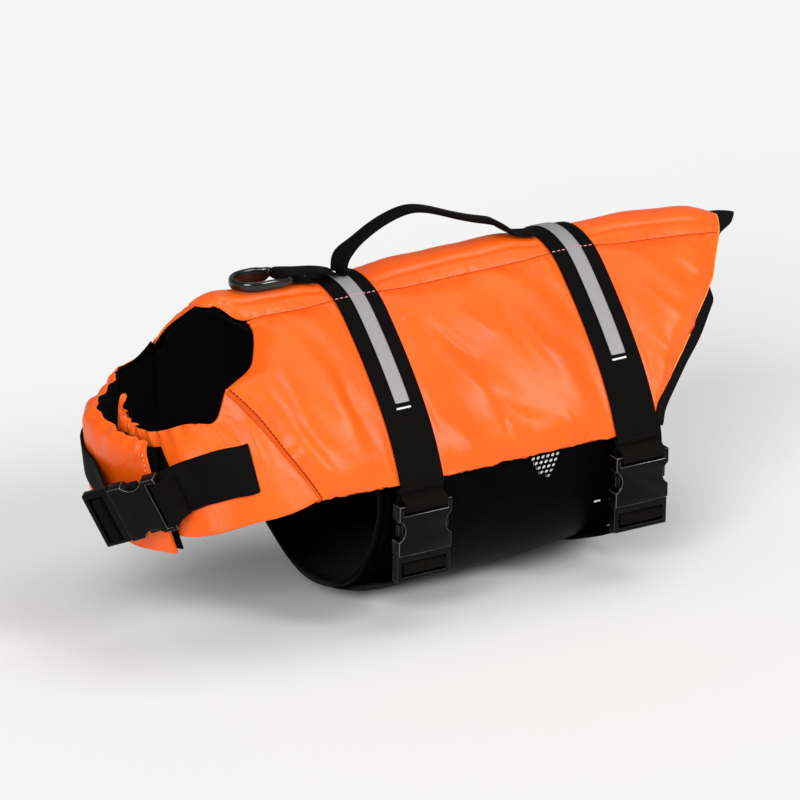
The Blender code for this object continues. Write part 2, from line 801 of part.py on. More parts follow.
def belly_binding(name, x, forward):
    # Rolled edge along the front or the rear of the belly panel
    sections = []
    for part in spread(-1.0, 1.0, 2 * BELLY_HALF_ROWS + 1):
        near = x + forward * BINDING_GAP
        far = x + forward * (BINDING_GAP + BINDING_WIDTH)
        edge = max(BELLY_STATIONS[0][0] * MM, min(BELLY_STATIONS[-1][0] * MM, near))
        high = belly_point(edge, part, BINDING_PROUD)
        low = belly_point(edge, part, -BELLY_THICK - BINDING_PROUD)
        sections.append([Vector((near, high.y, high.z)), Vector((far, high.y, high.z)),
                         Vector((far, low.y, low.z)), Vector((near, low.y, low.z))])
    return add_mesh(name, sweep(sections), BLACK, BELLY_ROUGH)


def laid_wall(name, rows, thick, colour, roughness):
    # A strip from rows of points on its middle face, and the direction each row faces
    outer = [[point + out * (thick / 2) for point, out in row] for row in rows]
    inner = [[point - out * (thick / 2) for point, out in row] for row in rows]
    return add_mesh(name, wall(outer, inner), colour, roughness)


def across_strip(x, width):
    return [x - width / 2, x, x + width / 2]


def laid_row(x, width, along, lift):
    # One row of a strip that lies on the cloth
    return [(on_skin(place, along, lift), skin_out(place, along)) for place in across_strip(x, width)]


def belt(name, x):
    # The belt over the back: from behind the left buckle, over the ridge, to just below the right hem
    lift = LAY_GAP + BELT_THICK / 2
    left = Vector((0.0, -1.0, 0.0))
    rows = []
    for y, z in BELT_TUCK:
        rows.append([(Vector((place, y * MM, z * MM)), left) for place in across_strip(x, BELT_WIDTH)])
    for along in cloth_rows(HEM) + [HEM + BELT_TAIL]:
        rows.append(laid_row(x, BELT_WIDTH, along, lift))
    return laid_wall(name, rows, BELT_THICK, BLACK, WEBBING_ROUGH)


def reflective_strip(name, x):
    lift = LAY_GAP + BELT_THICK + STRIP_GAP + STRIP_THICK / 2
    rows = []
    for along in cloth_rows(STRIP_END):
        rows.append(laid_row(x, STRIP_WIDTH, along, lift))
    return laid_wall(name, rows, STRIP_THICK, SILVER_GREY, STRIP_ROUGH)


def belly_strap(name, x):
    # From behind the left buckle to the belly panel's underside, along it, and up to the belt's far end
    lift = LAY_GAP + BELT_THICK / 2
    columns = []
    for place in across_strip(x, BELT_WIDTH):
        points = [Vector((place, y * MM, z * MM)) for y, z in STRAP_TUCK]
        parts = [index / BELLY_HALF_ROWS for index in range(-STRAP_FIRST, STRAP_LAST + 1)]
        laid = [belly_point(place, part, lift) for part in parts]
        points += [points[-1].lerp(laid[0], part) for part in (0.3, 0.65)] + laid
        low = on_skin(place, HEM + BELT_TAIL * 0.5, lift)
        end = on_skin(place, HEM + BELT_TAIL, lift)
        down = (end - low).normalized()
        reach = end + down * STRAP_REACH
        points += [laid[-1].lerp(reach, 0.55), reach, end + down * LAY_GAP]
        columns.append(points)
    rows = []
    for index in range(len(columns[0])):
        before = columns[1][max(index - 1, 0)]
        after = columns[1][min(index + 1, len(columns[1]) - 1)]
        way = after - before
        out = Vector((0.0, way.z, -way.y)).normalized()
        rows.append([(column[index], out) for column in columns])
    return laid_wall(name, rows, BELT_THICK, BLACK, WEBBING_ROUGH)


def curve_points(points, steps):
    # Extra points between the given ones, on a smooth curve through them
    fine = []
    for index in range(len(points) - 1):
        before = points[max(index - 1, 0)]
        here = points[index]
        after = points[index + 1]
        beyond = points[min(index + 2, len(points) - 1)]
        for step in range(steps):
            t = step / steps
            fine.append(0.5 * ((2 * here) + (after - before) * t
                               + (2 * before - 5 * here + 4 * after - beyond) * t * t
                               + (3 * here - before - 3 * after + beyond) * t * t * t))
    fine.append(points[-1])
    return fine


def handle():
    # Folded webbing: a foot on the front belt, a narrow rounded grip, a flat end that runs to the rear belt
    points = curve_points([Vector((x * MM, 0.0, z * MM)) for x, z in HANDLE_PATH], 2)
    widths = []
    for point in points:
        front = smooth((point.x - HANDLE_GRIP_FROM) / HANDLE_FRONT_BLEND)
        rear = smooth((point.x - HANDLE_GRIP_TO) / HANDLE_REAR_BLEND)
        grip = front * (1 - rear)
        widths.append(HANDLE_FOOT_WIDTH + (HANDLE_GRIP_WIDTH - HANDLE_FOOT_WIDTH) * grip)
    sections = []
    across = Vector((0.0, 1.0, 0.0))
    for index, point in enumerate(points):
        way = points[min(index + 1, len(points) - 1)] - points[max(index - 1, 0)]
        out = way.cross(across).normalized() * -1
        half = widths[index] / 2
        edge = half - HANDLE_THICK * 0.35
        flat = smooth((point.x - HANDLE_FLAT_FROM) / HANDLE_FLAT_BLEND)
        thick = (HANDLE_THICK + (LOOP_THICK - HANDLE_THICK) * flat) / 2
        sections.append([point - across * half, point - across * edge - out * thick,
                         point + across * edge - out * thick, point + across * half,
                         point + across * edge + out * thick, point - across * edge + out * thick])
    return add_mesh("handle", sweep(sections), BLACK, WEBBING_ROUGH)


def leash_ring():
    # D-ring lying forward on the back: a round bar, which is the hinge line, and a taller bow
    half = RING_WIDTH / 2
    length = RING_LENGTH - half
    path = [(0.0, -half), (0.0, -half * 0.75), (0.0, half * 0.75), (0.0, half), (-length / 2, half)]
    for index in range(9):
        turn = math.pi * index / 8
        path.append((-length - half * math.sin(turn), half * math.cos(turn)))
    path.append((-length / 2, -half))
    path = [Vector((x, y, 0.0)) for x, y in path]
    tilt = Matrix.Rotation(RING_TILT, 3, "Y")
    sections = []
    count = len(path)
    for index, point in enumerate(path):
        before = (point - path[index - 1]).normalized()
        after = (path[(index + 1) % count] - point).normalized()
        side = (before + after).normalized().cross(Vector((0.0, 0.0, 1.0)))
        stretch = 1.0 / math.cos(math.acos(min(1.0, before.dot(after))) / 2)
        tall = RING_BAR if index in (1, 2) else RING_TALL
        ring = []
        for k in range(8):
            turn = 2 * math.pi * (k + 0.5) / 8
            flat = side * (math.cos(turn) * RING_BAR / 2 * stretch)
            ring.append(tilt @ (point + flat + Vector((0.0, 0.0, math.sin(turn) * tall / 2))))
        sections.append(ring)
    made = add_mesh("leash_ring", sweep(sections, closed=True), PLASTIC, PLASTIC_ROUGH)
    made.location = ring_place()
    return made


def ring_place():
    return Vector((RING_X, 0.0, RING_HEIGHT))


def ring_loop():
    # Webbing wrapped round the ring's bar; its upper layer runs back over the front belt to the handle
    bar = ring_place()
    radius = RING_BAR / 2 + 0.5 * MM + LOOP_THICK / 2
    points = [Vector((x * MM, 0.0, z * MM)) for x, z in LOOP_UNDER]
    for index in range(9):
        turn = -math.pi * 0.42 - math.pi * 1.16 * index / 8
        points.append(bar + Vector((math.cos(turn) * radius, 0.0, math.sin(turn) * radius)))
    points += [Vector((x * MM, 0.0, z * MM)) for x, z in LOOP_OVER]
    across = Vector((0.0, 1.0, 0.0))
    made = ribbon(points, across, [LOOP_WIDTH] * len(points), LOOP_THICK)
    return add_mesh("ring_loop", made, BLACK, WEBBING_ROUGH)


def box(low, high):
    # A plain block, as a bmesh
    made = bmesh.new()
    bmesh.ops.create_cube(made, size=1.0)
    middle = (Vector(low) + Vector(high)) / 2
    size = Vector(high) - Vector(low)
    for vert in made.verts:
        vert.co = Vector((vert.co.x * size.x, vert.co.y * size.y, vert.co.z * size.z)) + middle
    return made


def box_object(low, high, bevel=0.0):
    # A plain block in the buckle's own frame: x across, y along, z out
    data = box(low, high)
    if bevel:
        bmesh.ops.bevel(data, geom=data.edges[:], offset=bevel, segments=2, profile=0.5, affect="EDGES")
    bmesh.ops.recalc_face_normals(data, faces=data.faces)
    mesh = bpy.data.meshes.new("block")
    data.to_mesh(mesh)
    data.free()
    made = bpy.data.objects.new("block", mesh)
    bpy.context.scene.collection.objects.link(made)
    return made


def post_object(x, y, radius, height):
    # A round cutter that stands across the buckle's thickness
    data = bmesh.new()
    bmesh.ops.create_cone(data, cap_ends=True, segments=24, radius1=radius, radius2=radius, depth=height)
    mesh = bpy.data.meshes.new("post")
    data.to_mesh(mesh)
    data.free()
    made = bpy.data.objects.new("post", mesh)
    made.location = Vector((x, y, 0.0))
    bpy.context.scene.collection.objects.link(made)
    return made


def combined(block, tools, operation):
    # The block with the tools cut out of it, or joined to it, as one new mesh
    for tool in tools:
        change = block.modifiers.new("change", "BOOLEAN")
        change.operation = operation
        change.solver = "EXACT"
        change.object = tool
    bpy.context.view_layer.update()
    ready = block.evaluated_get(bpy.context.evaluated_depsgraph_get())
    mesh = bpy.data.meshes.new_from_object(ready)
    for old in [block] + tools:
        bpy.data.objects.remove(old, do_unlink=True)
    made = bpy.data.objects.new("made", mesh)
    bpy.context.scene.collection.objects.link(made)
    return made


def socket_shape():
    # Socket: a flat sleeve, open at the plug's end, with a webbing slot and a notch for each thumb
    half = BUCKLE_WIDTH / 2
    thick = SOCKET_THICK / 2
    body = box_object((-half, 0.0, -thick), (half, SOCKET_LENGTH, thick), BUCKLE_EDGE)
    room = CAVITY_WIDTH / 2
    deep = CAVITY_THICK / 2
    cavity = box_object((-room, SOCKET_LENGTH - CAVITY_DEPTH, -deep),
                        (room, SOCKET_LENGTH + 5.0 * MM, deep))
    slot = box_object((-SLOT_WIDTH / 2, SOCKET_BAR, -thick * 2),
                      (SLOT_WIDTH / 2, SOCKET_BAR + SLOT_HEIGHT, thick * 2))
    reach = half + NOTCH_RADIUS * 0.42
    notches = [post_object(side * reach, NOTCH_PLACE, NOTCH_RADIUS, thick * 4) for side in (LEFT, RIGHT)]
    return combined(body, [cavity, slot] + notches, "DIFFERENCE")


def plug_shape():
    # Plug: a base with two webbing slots, two side prongs and a middle guide
    half = BUCKLE_WIDTH / 2
    thick = PLUG_THICK / 2
    start = SOCKET_LENGTH + SEAM_GAP
    base = box_object((-half, start, -thick), (half, start + PLUG_LENGTH, thick), BUCKLE_EDGE)
    slots = []
    for place in PLUG_SLOTS:
        slots.append(box_object((-SLOT_WIDTH / 2, start + place, -thick * 2),
                                (SLOT_WIDTH / 2, start + place + SLOT_HEIGHT, thick * 2)))
    base = combined(base, slots, "DIFFERENCE")
    flat = PRONG_THICK / 2
    tip = SOCKET_LENGTH - CAVITY_DEPTH + 1.0 * MM
    root = start + 1.5 * MM
    arms = [box_object((-GUIDE_WIDTH / 2, tip + 6.0 * MM, -flat * 0.8), (GUIDE_WIDTH / 2, root, flat * 0.8))]
    room = CAVITY_WIDTH / 2 - PRONG_CLEAR
    for side in (LEFT, RIGHT):
        near = sorted((side * (room - PRONG_WIDTH), side * room))
        arms.append(box_object((near[0], tip, -flat), (near[1], root, flat)))
        pad = sorted((side * (room - 2.0 * MM), side * (half - BUCKLE_EDGE)))
        arms.append(box_object((pad[0], NOTCH_PLACE - PAD_HALF, -flat * 0.9),
                               (pad[1], NOTCH_PLACE + PAD_HALF, flat * 0.9), PAD_EDGE))
    return combined(base, arms, "UNION")


def place_buckle(name, centre, along, out):
    # A socket and its plug, fastened, with the middle of the pair at the centre
    down = along.normalized()
    face = (out - down * out.dot(down)).normalized()
    across = down.cross(face)
    turn = Matrix((across, down, face)).transposed().to_4x4()
    start = centre - down * (SOCKET_LENGTH + PLUG_LENGTH) / 2
    frame = Matrix.Translation(start) @ turn
    for kind, shape in (("socket", socket_shape()), ("plug", plug_shape())):
        shape.name = name + "_" + kind
        shape.data.name = shape.name
        finish(shape, PLASTIC, PLASTIC_ROUGH, 0.0, BUCKLE_SMOOTH)
        shape.matrix_world = frame
    return frame


def belt_buckle(name, x):
    middle = (SOCKET_LENGTH + PLUG_LENGTH) / 2
    centre = Vector((x, BELT_BUCKLE_Y + middle * BELT_BUCKLE_LEAN, BELT_BUCKLE_TOP - middle))
    place_buckle(name, centre, Vector((0.0, BELT_BUCKLE_LEAN, -1.0)), Vector((0.0, -1.0, 0.0)))


def band(points, acrosses, outs, width, thick):
    # Webbing that turns in every direction: its middle line, width directions and face directions
    sections = []
    for point, across, out in zip(points, acrosses, outs):
        half = across.normalized() * (width / 2)
        lift = out.normalized() * (thick / 2)
        low = point - lift
        top = point + lift
        sections.append([low - half, low + half, top + half, top - half])
    return sweep(sections)


def neck_strap(name, side, start, stop, down, skew, target, target_across, target_out):
    # Sewn flat on the flap, then across to the back of the buckle; skew turns its sewn end
    lift = STRAP_GAP + BELT_THICK / 2
    points = []
    acrosses = []
    outs = []
    for index, part in enumerate(spread(start, stop, STRAP_ROWS)):
        turn = skew * (1 - index / (STRAP_ROWS - 1))
        middle, out = flap_point(part, down, side)
        high = flap_point(part - turn, down - STRAP_HALF, side)[0]
        low = flap_point(part + turn, down + STRAP_HALF, side)[0]
        bow = (middle - (high + low) / 2).dot(out)
        points.append((high + low) / 2 + out * (max(bow, 0.0) + lift))
        acrosses.append((low - high).normalized())
        outs.append(out)
    last = points[-1], acrosses[-1], outs[-1]
    for part in (0.35, 0.7, 1.0):
        points.append(last[0].lerp(target, part))
        acrosses.append(last[1].lerp(target_across, part))
        outs.append(last[2].lerp(target_out, part))
    return add_mesh(name, band(points, acrosses, outs, BELT_WIDTH, BELT_THICK), BLACK, WEBBING_ROUGH)


def neck_fastening():
    # The buckle in front of the chest, and the two straps that end behind it
    frame = place_buckle("buckle_neck", NECK_BUCKLE, NECK_ALONG, NECK_OUT)
    across = -Vector(frame.col[0][:3])
    out = Vector(frame.col[2][:3])
    behind = LAY_GAP + BELT_THICK / 2
    socket_end = frame @ Vector((0.0, SOCKET_BAR + SLOT_HEIGHT, -SOCKET_THICK / 2 - behind))
    plug_reach = SOCKET_LENGTH + PLUG_LENGTH - NECK_STRAP_BEHIND
    plug_end = frame @ Vector((0.0, plug_reach, -PLUG_THICK / 2 - behind))
    neck_strap("neck_strap_left", LEFT, LEFT_STRAP_START, LEFT_STRAP_STOP, LEFT_STRAP_DOWN,
               LEFT_STRAP_SKEW, socket_end, across, out)
    neck_strap("neck_strap_right", RIGHT, RIGHT_STRAP_START, RIGHT_STRAP_STOP, RIGHT_STRAP_DOWN,
               0.0, plug_end, across, out)


def closing_patch():
    # Strip of hook tape on the left flap, under the end of the right one
    outer = []
    inner = []
    for index in range(PATCH_FIRST, PATCH_LAST + 1):
        row_out = []
        row_in = []
        for down in FLAP_ROWS[2:6]:
            point, out = flap_point(index / (FLAP_COLUMNS - 1), down, LEFT)
            row_out.append(point + out * (PATCH_GAP + PATCH_THICK))
            row_in.append(point + out * PATCH_GAP)
        outer.append(row_out)
        inner.append(row_in)
    return add_mesh("closing_patch", wall(outer, inner), BLACK, MESH_ROUGH)


def build():
    for old in list(bpy.data.objects):
        bpy.data.objects.remove(old, do_unlink=True)
    back_panel()
    side_panel("side_panel_left", LEFT)
    side_panel("side_panel_right", RIGHT)
    lining()
    tail_binding()
    flap("chest_flap_left", LEFT)
    flap("chest_flap_right", RIGHT)
    flap_lining("flap_lining_left", LEFT)
    flap_lining("flap_lining_right", RIGHT)
    belly_panel()
    belly_binding("belly_binding_front", BELLY_STATIONS[0][0] * MM, -1)
    belly_binding("belly_binding_rear", BELLY_STATIONS[-1][0] * MM, 1)
    for name, x in (("front", BELT_FRONT_X), ("rear", BELT_REAR_X)):
        belt("belt_" + name, x)
        reflective_strip("reflective_strip_" + name, x)
        belly_strap("belly_strap_" + name, x)
        belt_buckle("buckle_" + name, x)
    ring_loop()
    leash_ring()
    handle()
    neck_fastening()
    closing_patch()


build()
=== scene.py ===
# Dog life jacket, filled out as worn: orange padded shell, black mesh lining, webbing belts,
# moulded buckles, handle and leash ring. Everything is in metres, +X to the tail, -Y the left side.
import json
import math
from types import SimpleNamespace

import bmesh
import bpy
import numpy as np
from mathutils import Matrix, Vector, noise
from mathutils.bvhtree import BVHTree
from mathutils.kdtree import KDTree

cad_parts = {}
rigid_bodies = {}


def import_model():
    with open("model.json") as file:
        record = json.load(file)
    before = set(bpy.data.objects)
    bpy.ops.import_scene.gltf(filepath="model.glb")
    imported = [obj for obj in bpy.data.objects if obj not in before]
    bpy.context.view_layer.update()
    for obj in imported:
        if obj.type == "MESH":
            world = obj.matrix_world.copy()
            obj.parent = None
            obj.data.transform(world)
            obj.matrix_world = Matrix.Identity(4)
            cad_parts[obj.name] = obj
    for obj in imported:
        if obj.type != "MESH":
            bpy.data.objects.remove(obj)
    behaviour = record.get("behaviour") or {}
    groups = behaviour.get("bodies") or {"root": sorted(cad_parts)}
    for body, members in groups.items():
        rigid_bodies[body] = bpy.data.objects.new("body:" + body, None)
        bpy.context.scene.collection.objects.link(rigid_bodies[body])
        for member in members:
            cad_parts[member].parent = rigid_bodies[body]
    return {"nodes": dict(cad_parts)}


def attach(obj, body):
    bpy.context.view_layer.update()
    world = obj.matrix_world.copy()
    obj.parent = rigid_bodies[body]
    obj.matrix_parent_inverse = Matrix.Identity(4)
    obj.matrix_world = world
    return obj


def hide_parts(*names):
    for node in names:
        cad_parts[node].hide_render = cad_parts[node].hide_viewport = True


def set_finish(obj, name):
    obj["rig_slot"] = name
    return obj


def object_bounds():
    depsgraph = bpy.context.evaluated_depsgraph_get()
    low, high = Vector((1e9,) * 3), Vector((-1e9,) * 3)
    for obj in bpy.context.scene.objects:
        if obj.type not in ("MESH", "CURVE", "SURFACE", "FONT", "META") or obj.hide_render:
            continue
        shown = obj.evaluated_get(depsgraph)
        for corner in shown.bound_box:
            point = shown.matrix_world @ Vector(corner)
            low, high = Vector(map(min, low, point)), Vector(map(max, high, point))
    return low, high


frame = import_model()
cadLow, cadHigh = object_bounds()
mm = 0.001
leftSide = -1
rightSide = 1


def hexColour(text):
    # sRGB hex to linear colour
    parts = [int(text[place:place + 2], 16) / 255 for place in (1, 3, 5)]
    linear = [part / 12.92 if part <= 0.04045 else ((part + 0.055) / 1.055) ** 2.4 for part in parts]
    return (*linear, 1.0)


def lookOf(table):
    # A dictionary's values by their names; each one in mm is there in metres too, without the Mm
    found = dict(table)
    for name, value in table.items():
        if name.endswith("Mm"):
            found[name[:-2]] = tuple(part * mm for part in value) if isinstance(value, tuple) else value * mm
    return SimpleNamespace(**found)


def addNode(material, kind, settings, links=()):
    # One node with its settings, and its links as (input, node, output)
    node = material.node_tree.nodes.new("ShaderNode" + kind)
    for name, value in settings.items():
        if isinstance(name, int) or name in node.inputs:
            node.inputs[name].default_value = value
        else:
            setattr(node, name, value)
    for socket, source, output in links:
        material.node_tree.links.new(source.outputs[output], node.inputs[socket])
    return node


def newMaterial(name, table, pattern=None):
    # A material whose pattern gives the colour's node, that node's output, and the relief's node
    look = lookOf({"tonesAt": (0.0, 1.0), "shade": 1.0, "ior": 1.5, **table})
    material = bpy.data.materials.new(name)
    material.use_nodes = True
    material.node_tree.nodes.clear()
    values = {"Roughness": look.rough, "Specular IOR Level": look.specular, "IOR": look.ior}
    if pattern:
        colour, output, relief = pattern(material, look)
        links = [("Base Color", colour, output), ("Normal", relief, "Normal")]
    else:
        values["Base Color"] = hexColour(look.tone)
        links = []
    shader = addNode(material, "BsdfPrincipled", values, links)
    addNode(material, "OutputMaterial", {}, [("Surface", shader, "BSDF")])
    return material


def setTones(ramp, positions, colours):
    # The two stops of a colour ramp
    for stop, position, colour in zip(ramp.color_ramp.elements, positions, colours):
        stop.position = position
        stop.color = colour


def bandScale(periodMm):
    # Scale of a wave texture whose bands repeat every period
    return 0.1 * math.pi / (periodMm * mm)


def grainScale(sizeMm):
    # Scale of a noise or cell texture whose grains are of that size
    return 1 / (sizeMm * mm)


# Coated nylon oxford: woven, then coated and calendered, so it looks smooth and satin with a faint weave
orangeCloth = {
    "base": "#F4600F", "worn": "#F7702A", "wornShare": 0.22, "deep": "#EE5708", "patchMm": 71.43,
    "rough": 0.38, "specular": 0.27,
    "weaveMm": 1.1,  # the real 0.45 mm is too fine to show
    "weaveDepthMm": 0.04, "crinkleMm": 9.0, "crinkleDepthMm": 0.35,
}


def coatedNylon(material, look):
    place = addNode(material, "UVMap", {"uv_map": "clothMap"})
    solid = addNode(material, "TexCoord", {})
    warp, weft = [addNode(material, "TexWave",
                          {"bands_direction": way, "Scale": bandScale(look.weaveMm)},
                          [("Vector", place, "UV")])
                  for way in ("X", "Y")]
    weave = addNode(material, "Math", {"operation": "MULTIPLY"}, [(0, warp, "Fac"), (1, weft, "Fac")])
    crinkle = addNode(material, "TexNoise",
                      {"Scale": grainScale(look.crinkleMm), "Detail": 3.0, "Roughness": 0.5,
                       "Distortion": 0.6},
                      [("Vector", solid, "Object")])
    broad = addNode(material, "TexNoise",
                    {"Scale": grainScale(look.patchMm), "Detail": 2.0, "Roughness": 0.5},
                    [("Vector", solid, "Object")])
    tone = addNode(material, "ValToRGB", {}, [("Fac", broad, "Fac")])
    setTones(tone, (0.35, 0.7), (hexColour(look.deep), hexColour(look.base)))
    threadTone = addNode(material, "Mix",
                         {"data_type": "RGBA", "blend_type": "MIX", 7: hexColour(look.worn)},
                         [(6, tone, "Color")])
    faint = addNode(material, "Math", {"operation": "MULTIPLY", 1: look.wornShare}, [(0, weave, "Value")])
    material.node_tree.links.new(faint.outputs["Value"], threadTone.inputs[0])
    folds = addNode(material, "Bump", {"Strength": 0.6, "Distance": look.crinkleDepth},
                    [("Height", crinkle, "Fac")])
    threads = addNode(material, "Bump", {"Strength": 0.5, "Distance": look.weaveDepth},
                      [("Height", weave, "Value"), ("Normal", folds, "Normal")])
    return threadTone, 2, threads


# Polyester webbing, woven in fine ribs across its width: matt, with soft lines
webbingLook = {
    "dark": "#020202", "light": "#0A0807", "rough": 0.8, "specular": 0.06,
    "ribMm": 1.6, "twillMm": 3.4, "twillShare": 0.35, "depthMm": 0.16,
}


def wovenWebbing(material, look):
    place = addNode(material, "UVMap", {"uv_map": "clothMap"})
    ribs = addNode(material, "TexWave",
                   {"bands_direction": "Y", "Scale": bandScale(look.ribMm), "Distortion": 0.6,
                    "Detail": 1.0, "Detail Scale": 8.0},
                   [("Vector", place, "UV")])
    twill = addNode(material, "TexWave",
                    {"bands_direction": "X", "Scale": bandScale(look.twillMm)},
                    [("Vector", place, "UV")])
    height = addNode(material, "Math", {"operation": "MULTIPLY_ADD", 1: look.twillShare},
                     [(0, twill, "Fac"), (2, ribs, "Fac")])
    tone = addNode(material, "ValToRGB", {}, [("Fac", height, "Value")])
    setTones(tone, (0, 1), (hexColour(look.dark), hexColour(look.light)))
    bump = addNode(material, "Bump", {"Strength": 0.35, "Distance": look.depth},
                   [("Height", height, "Value")])
    return tone, "Color", bump


# Smooth stretch knit over a thin foam: deep black, with soft creases, and a dull grey lowest down that is a
# painted reflection of the pale floor
bellyLook = {
    "dark": "#010101", "light": "#040303", "rubbed": "#383535", "rubbedFromZ": -0.214, "rubbedToZ": -0.238,
    "rough": 0.42, "specular": 0.02, "ribMm": 1.5, "depthMm": 0.06, "creaseMm": 22.0, "creaseDepthMm": 0.8,
}


def stretchKnit(material, look):
    place = addNode(material, "UVMap", {"uv_map": "clothMap"})
    solid = addNode(material, "TexCoord", {})
    ribs = addNode(material, "TexWave",
                   {"bands_direction": "X", "Scale": bandScale(look.ribMm)}, [("Vector", place, "UV")])
    soft = addNode(material, "TexNoise", {"Scale": grainScale(look.creaseMm), "Detail": 2.0},
                   [("Vector", solid, "Object")])
    tone = addNode(material, "ValToRGB", {}, [("Fac", soft, "Fac")])
    setTones(tone, (0.3, 0.75), (hexColour(look.dark), hexColour(look.light)))
    height = addNode(material, "SeparateXYZ", {}, [("Vector", solid, "Object")])
    # painted reflection: lowest down the black is mixed towards grey, as if lit by the floor below
    low = addNode(material, "MapRange",
                  {"From Min": look.rubbedFromZ, "From Max": look.rubbedToZ},
                  [("Value", height, "Z")])
    worn = addNode(material, "Mix",
                   {"data_type": "RGBA", "blend_type": "MIX", 7: hexColour(look.rubbed)},
                   [(0, low, "Result"), (6, tone, "Color")])
    fold = addNode(material, "Bump", {"Strength": 0.5, "Distance": look.creaseDepth},
                   [("Height", soft, "Fac")])
    bump = addNode(material, "Bump", {"Strength": 0.4, "Distance": look.depth},
                   [("Height", ribs, "Fac"), ("Normal", fold, "Normal")])
    return worn, 2, bump


def grained(material, look):
    # One fine pattern makes both its two tones and its relief
    solid = addNode(material, "TexCoord", {})
    grain = addNode(material, look.kind, look.pattern, [("Vector", solid, "Object")])
    height = "Distance" if look.kind == "TexVoronoi" else "Fac"
    tone = addNode(material, "ValToRGB", {}, [("Fac", grain, height)])
    first, second = [hexColour(colour) for colour in look.tones]
    first = (*[part * look.shade for part in first[:3]], 1.0)
    setTones(tone, look.tonesAt, (first, second))
    bump = addNode(material, "Bump", {"Strength": look.relief, "Distance": look.depth},
                   [("Height", grain, height)])
    return tone, "Color", bump


# Knitted polyester mesh: small open cells that swallow light, so it reads as flat black
meshLook = {
    "tones": ("#010101", "#080606"), "tonesAt": (0.25, 0.6), "rough": 0.95, "specular": 0.05,
    "kind": "TexVoronoi", "pattern": {"Scale": grainScale(2.6), "Randomness": 0.15},
    "relief": 0.7, "depthMm": 0.3,
}
# Folded grosgrain binding: matt black with fine cross ribs
bindingLook = {
    "tones": ("#030202", "#0C0A09"), "rough": 0.85, "specular": 0.1, "kind": "TexWave",
    "pattern": {"bands_direction": "DIAGONAL", "Scale": bandScale(1.3), "Distortion": 1.0},
    "relief": 0.5, "depthMm": 0.1,
}
# Reflective tape: glass beads bonded to grey cloth, so it is an even mid grey with a fine sparkle
tapeLook = {
    "tones": ("#A3A1A3", "#858385"), "tonesAt": (0.1, 0.45), "rough": 0.45, "specular": 0.5,
    "kind": "TexVoronoi", "pattern": {"Scale": grainScale(0.7)},  # the real beads are 0.1 mm
    "relief": 0.3, "depthMm": 0.05,
}
# Acetal, injection moulded in a finely eroded mould: satin black faces, and glossier edges whose lighter grey
# is a painted highlight
acetalLook = {
    "tones": ("#030303", "#060505"), "rough": 0.34, "specular": 0.1, "ior": 1.48,
    "kind": "TexNoise", "pattern": {"Scale": grainScale(0.9), "Detail": 2.0},
    "relief": 0.35, "depthMm": 0.03,
}
# edge material: glossier, and its lighter grey tones are a painted highlight
acetalEdgeHighlight = {"tones": ("#33302E", "#4E4A47"), "rough": 0.2, "specular": 0.9}
# Enamelled ring: smooth and glossy, with sharp narrow highlights
ringLook = {
    "tones": ("#0A0807", "#15110E"), "rough": 0.16, "specular": 0.5,
    "kind": "TexNoise", "pattern": {"Scale": grainScale(6.25), "Detail": 2.0},
    "relief": 0.2, "depthMm": 0.05,
}
# Twisted polyester thread: slightly shiny, with a fine diagonal lay whose hollows are a little darker
threadLook = {
    "shade": 0.8, "rough": 0.6, "specular": 0.12, "kind": "TexWave",
    "pattern": {"bands_direction": "DIAGONAL", "Scale": bandScale(0.5)}, "relief": 0.3, "depthMm": 0.06,
}
threadColours = {
    # finish: word in its name, colour
    # the seam cords' darker orange is painted shade in the seams' valleys
    "seam": ("orange", "#CE4D04"), "roseThread": ("rose", "#D7929A"), "whiteThread": ("white", "#E9E9E6"),
    # the dark thread is real stitching, and its dark colour is also a painted shadow line along the seams
    # the pale sheet behind the belly net is painted light: it stands for the backdrop seen through the holes
    "darkThread": ("dark", "#8E3206"), "paintedBackdropLight": ("pale", "#DADADA"), "piping": ("piping", "#FF9A45"),
}
floorLook = {"tone": "#E7E7E7", "rough": 0.9, "specular": 0.1}
looks = {
    "orange": newMaterial("coatedNylonOxford", orangeCloth, coatedNylon),
    "webbing": newMaterial("polyesterWebbing", webbingLook, wovenWebbing),
    "belly": newMaterial("stretchKnit", bellyLook, stretchKnit),
    "mesh": newMaterial("polyesterMesh", meshLook, grained),
    "binding": newMaterial("grosgrainBinding", bindingLook, grained),
    "tape": newMaterial("glassBeadTape", tapeLook, grained),
    "plastic": newMaterial("mouldedAcetal_faces", acetalLook, grained),
    "plasticEdge": newMaterial("mouldedAcetal_paintedEdgeHighlights", {**acetalLook, **acetalEdgeHighlight}, grained),
    "ring": newMaterial("blackEnamel", ringLook, grained),
}
for finish, (word, colour) in threadColours.items():
    looks[finish] = newMaterial("polyesterThread_" + word, {**threadLook, "tones": (colour, colour)}, grained)
print("materials ready")


def wayTo(azimuth, elevation):
    # The direction at so many degrees from straight left towards the tail, and up
    turn = math.radians(azimuth)
    rise = math.radians(elevation)
    return Vector((math.sin(turn) * math.cos(rise), -math.cos(turn) * math.cos(rise), math.sin(rise)))


# Camera from the front left, a little above; long lens, so it is nearly without perspective
cameraSettings = {
    "aim": (-0.0396, 0.0, -0.0997), "azimuth": -33.3, "elevation": 20.0,
    "distance": 24.0, "widthAtAim": 0.5985, "sensor": 36.0, "seesTo": 90.0,
}


def makeCamera():
    look = lookOf(cameraSettings)
    view = -wayTo(look.azimuth, look.elevation)
    data = bpy.data.cameras.new("camera")
    data.sensor_width = look.sensor
    data.lens = look.sensor * look.distance / look.widthAtAim
    data.clip_end = look.seesTo
    camera = bpy.data.objects.new("camera", data)
    camera.location = Vector(look.aim) - view * look.distance
    camera.rotation_mode = "QUATERNION"
    camera.rotation_quaternion = view.to_track_quat("-Z", "Y")
    bpy.context.scene.collection.objects.link(camera)
    bpy.context.scene.camera = camera


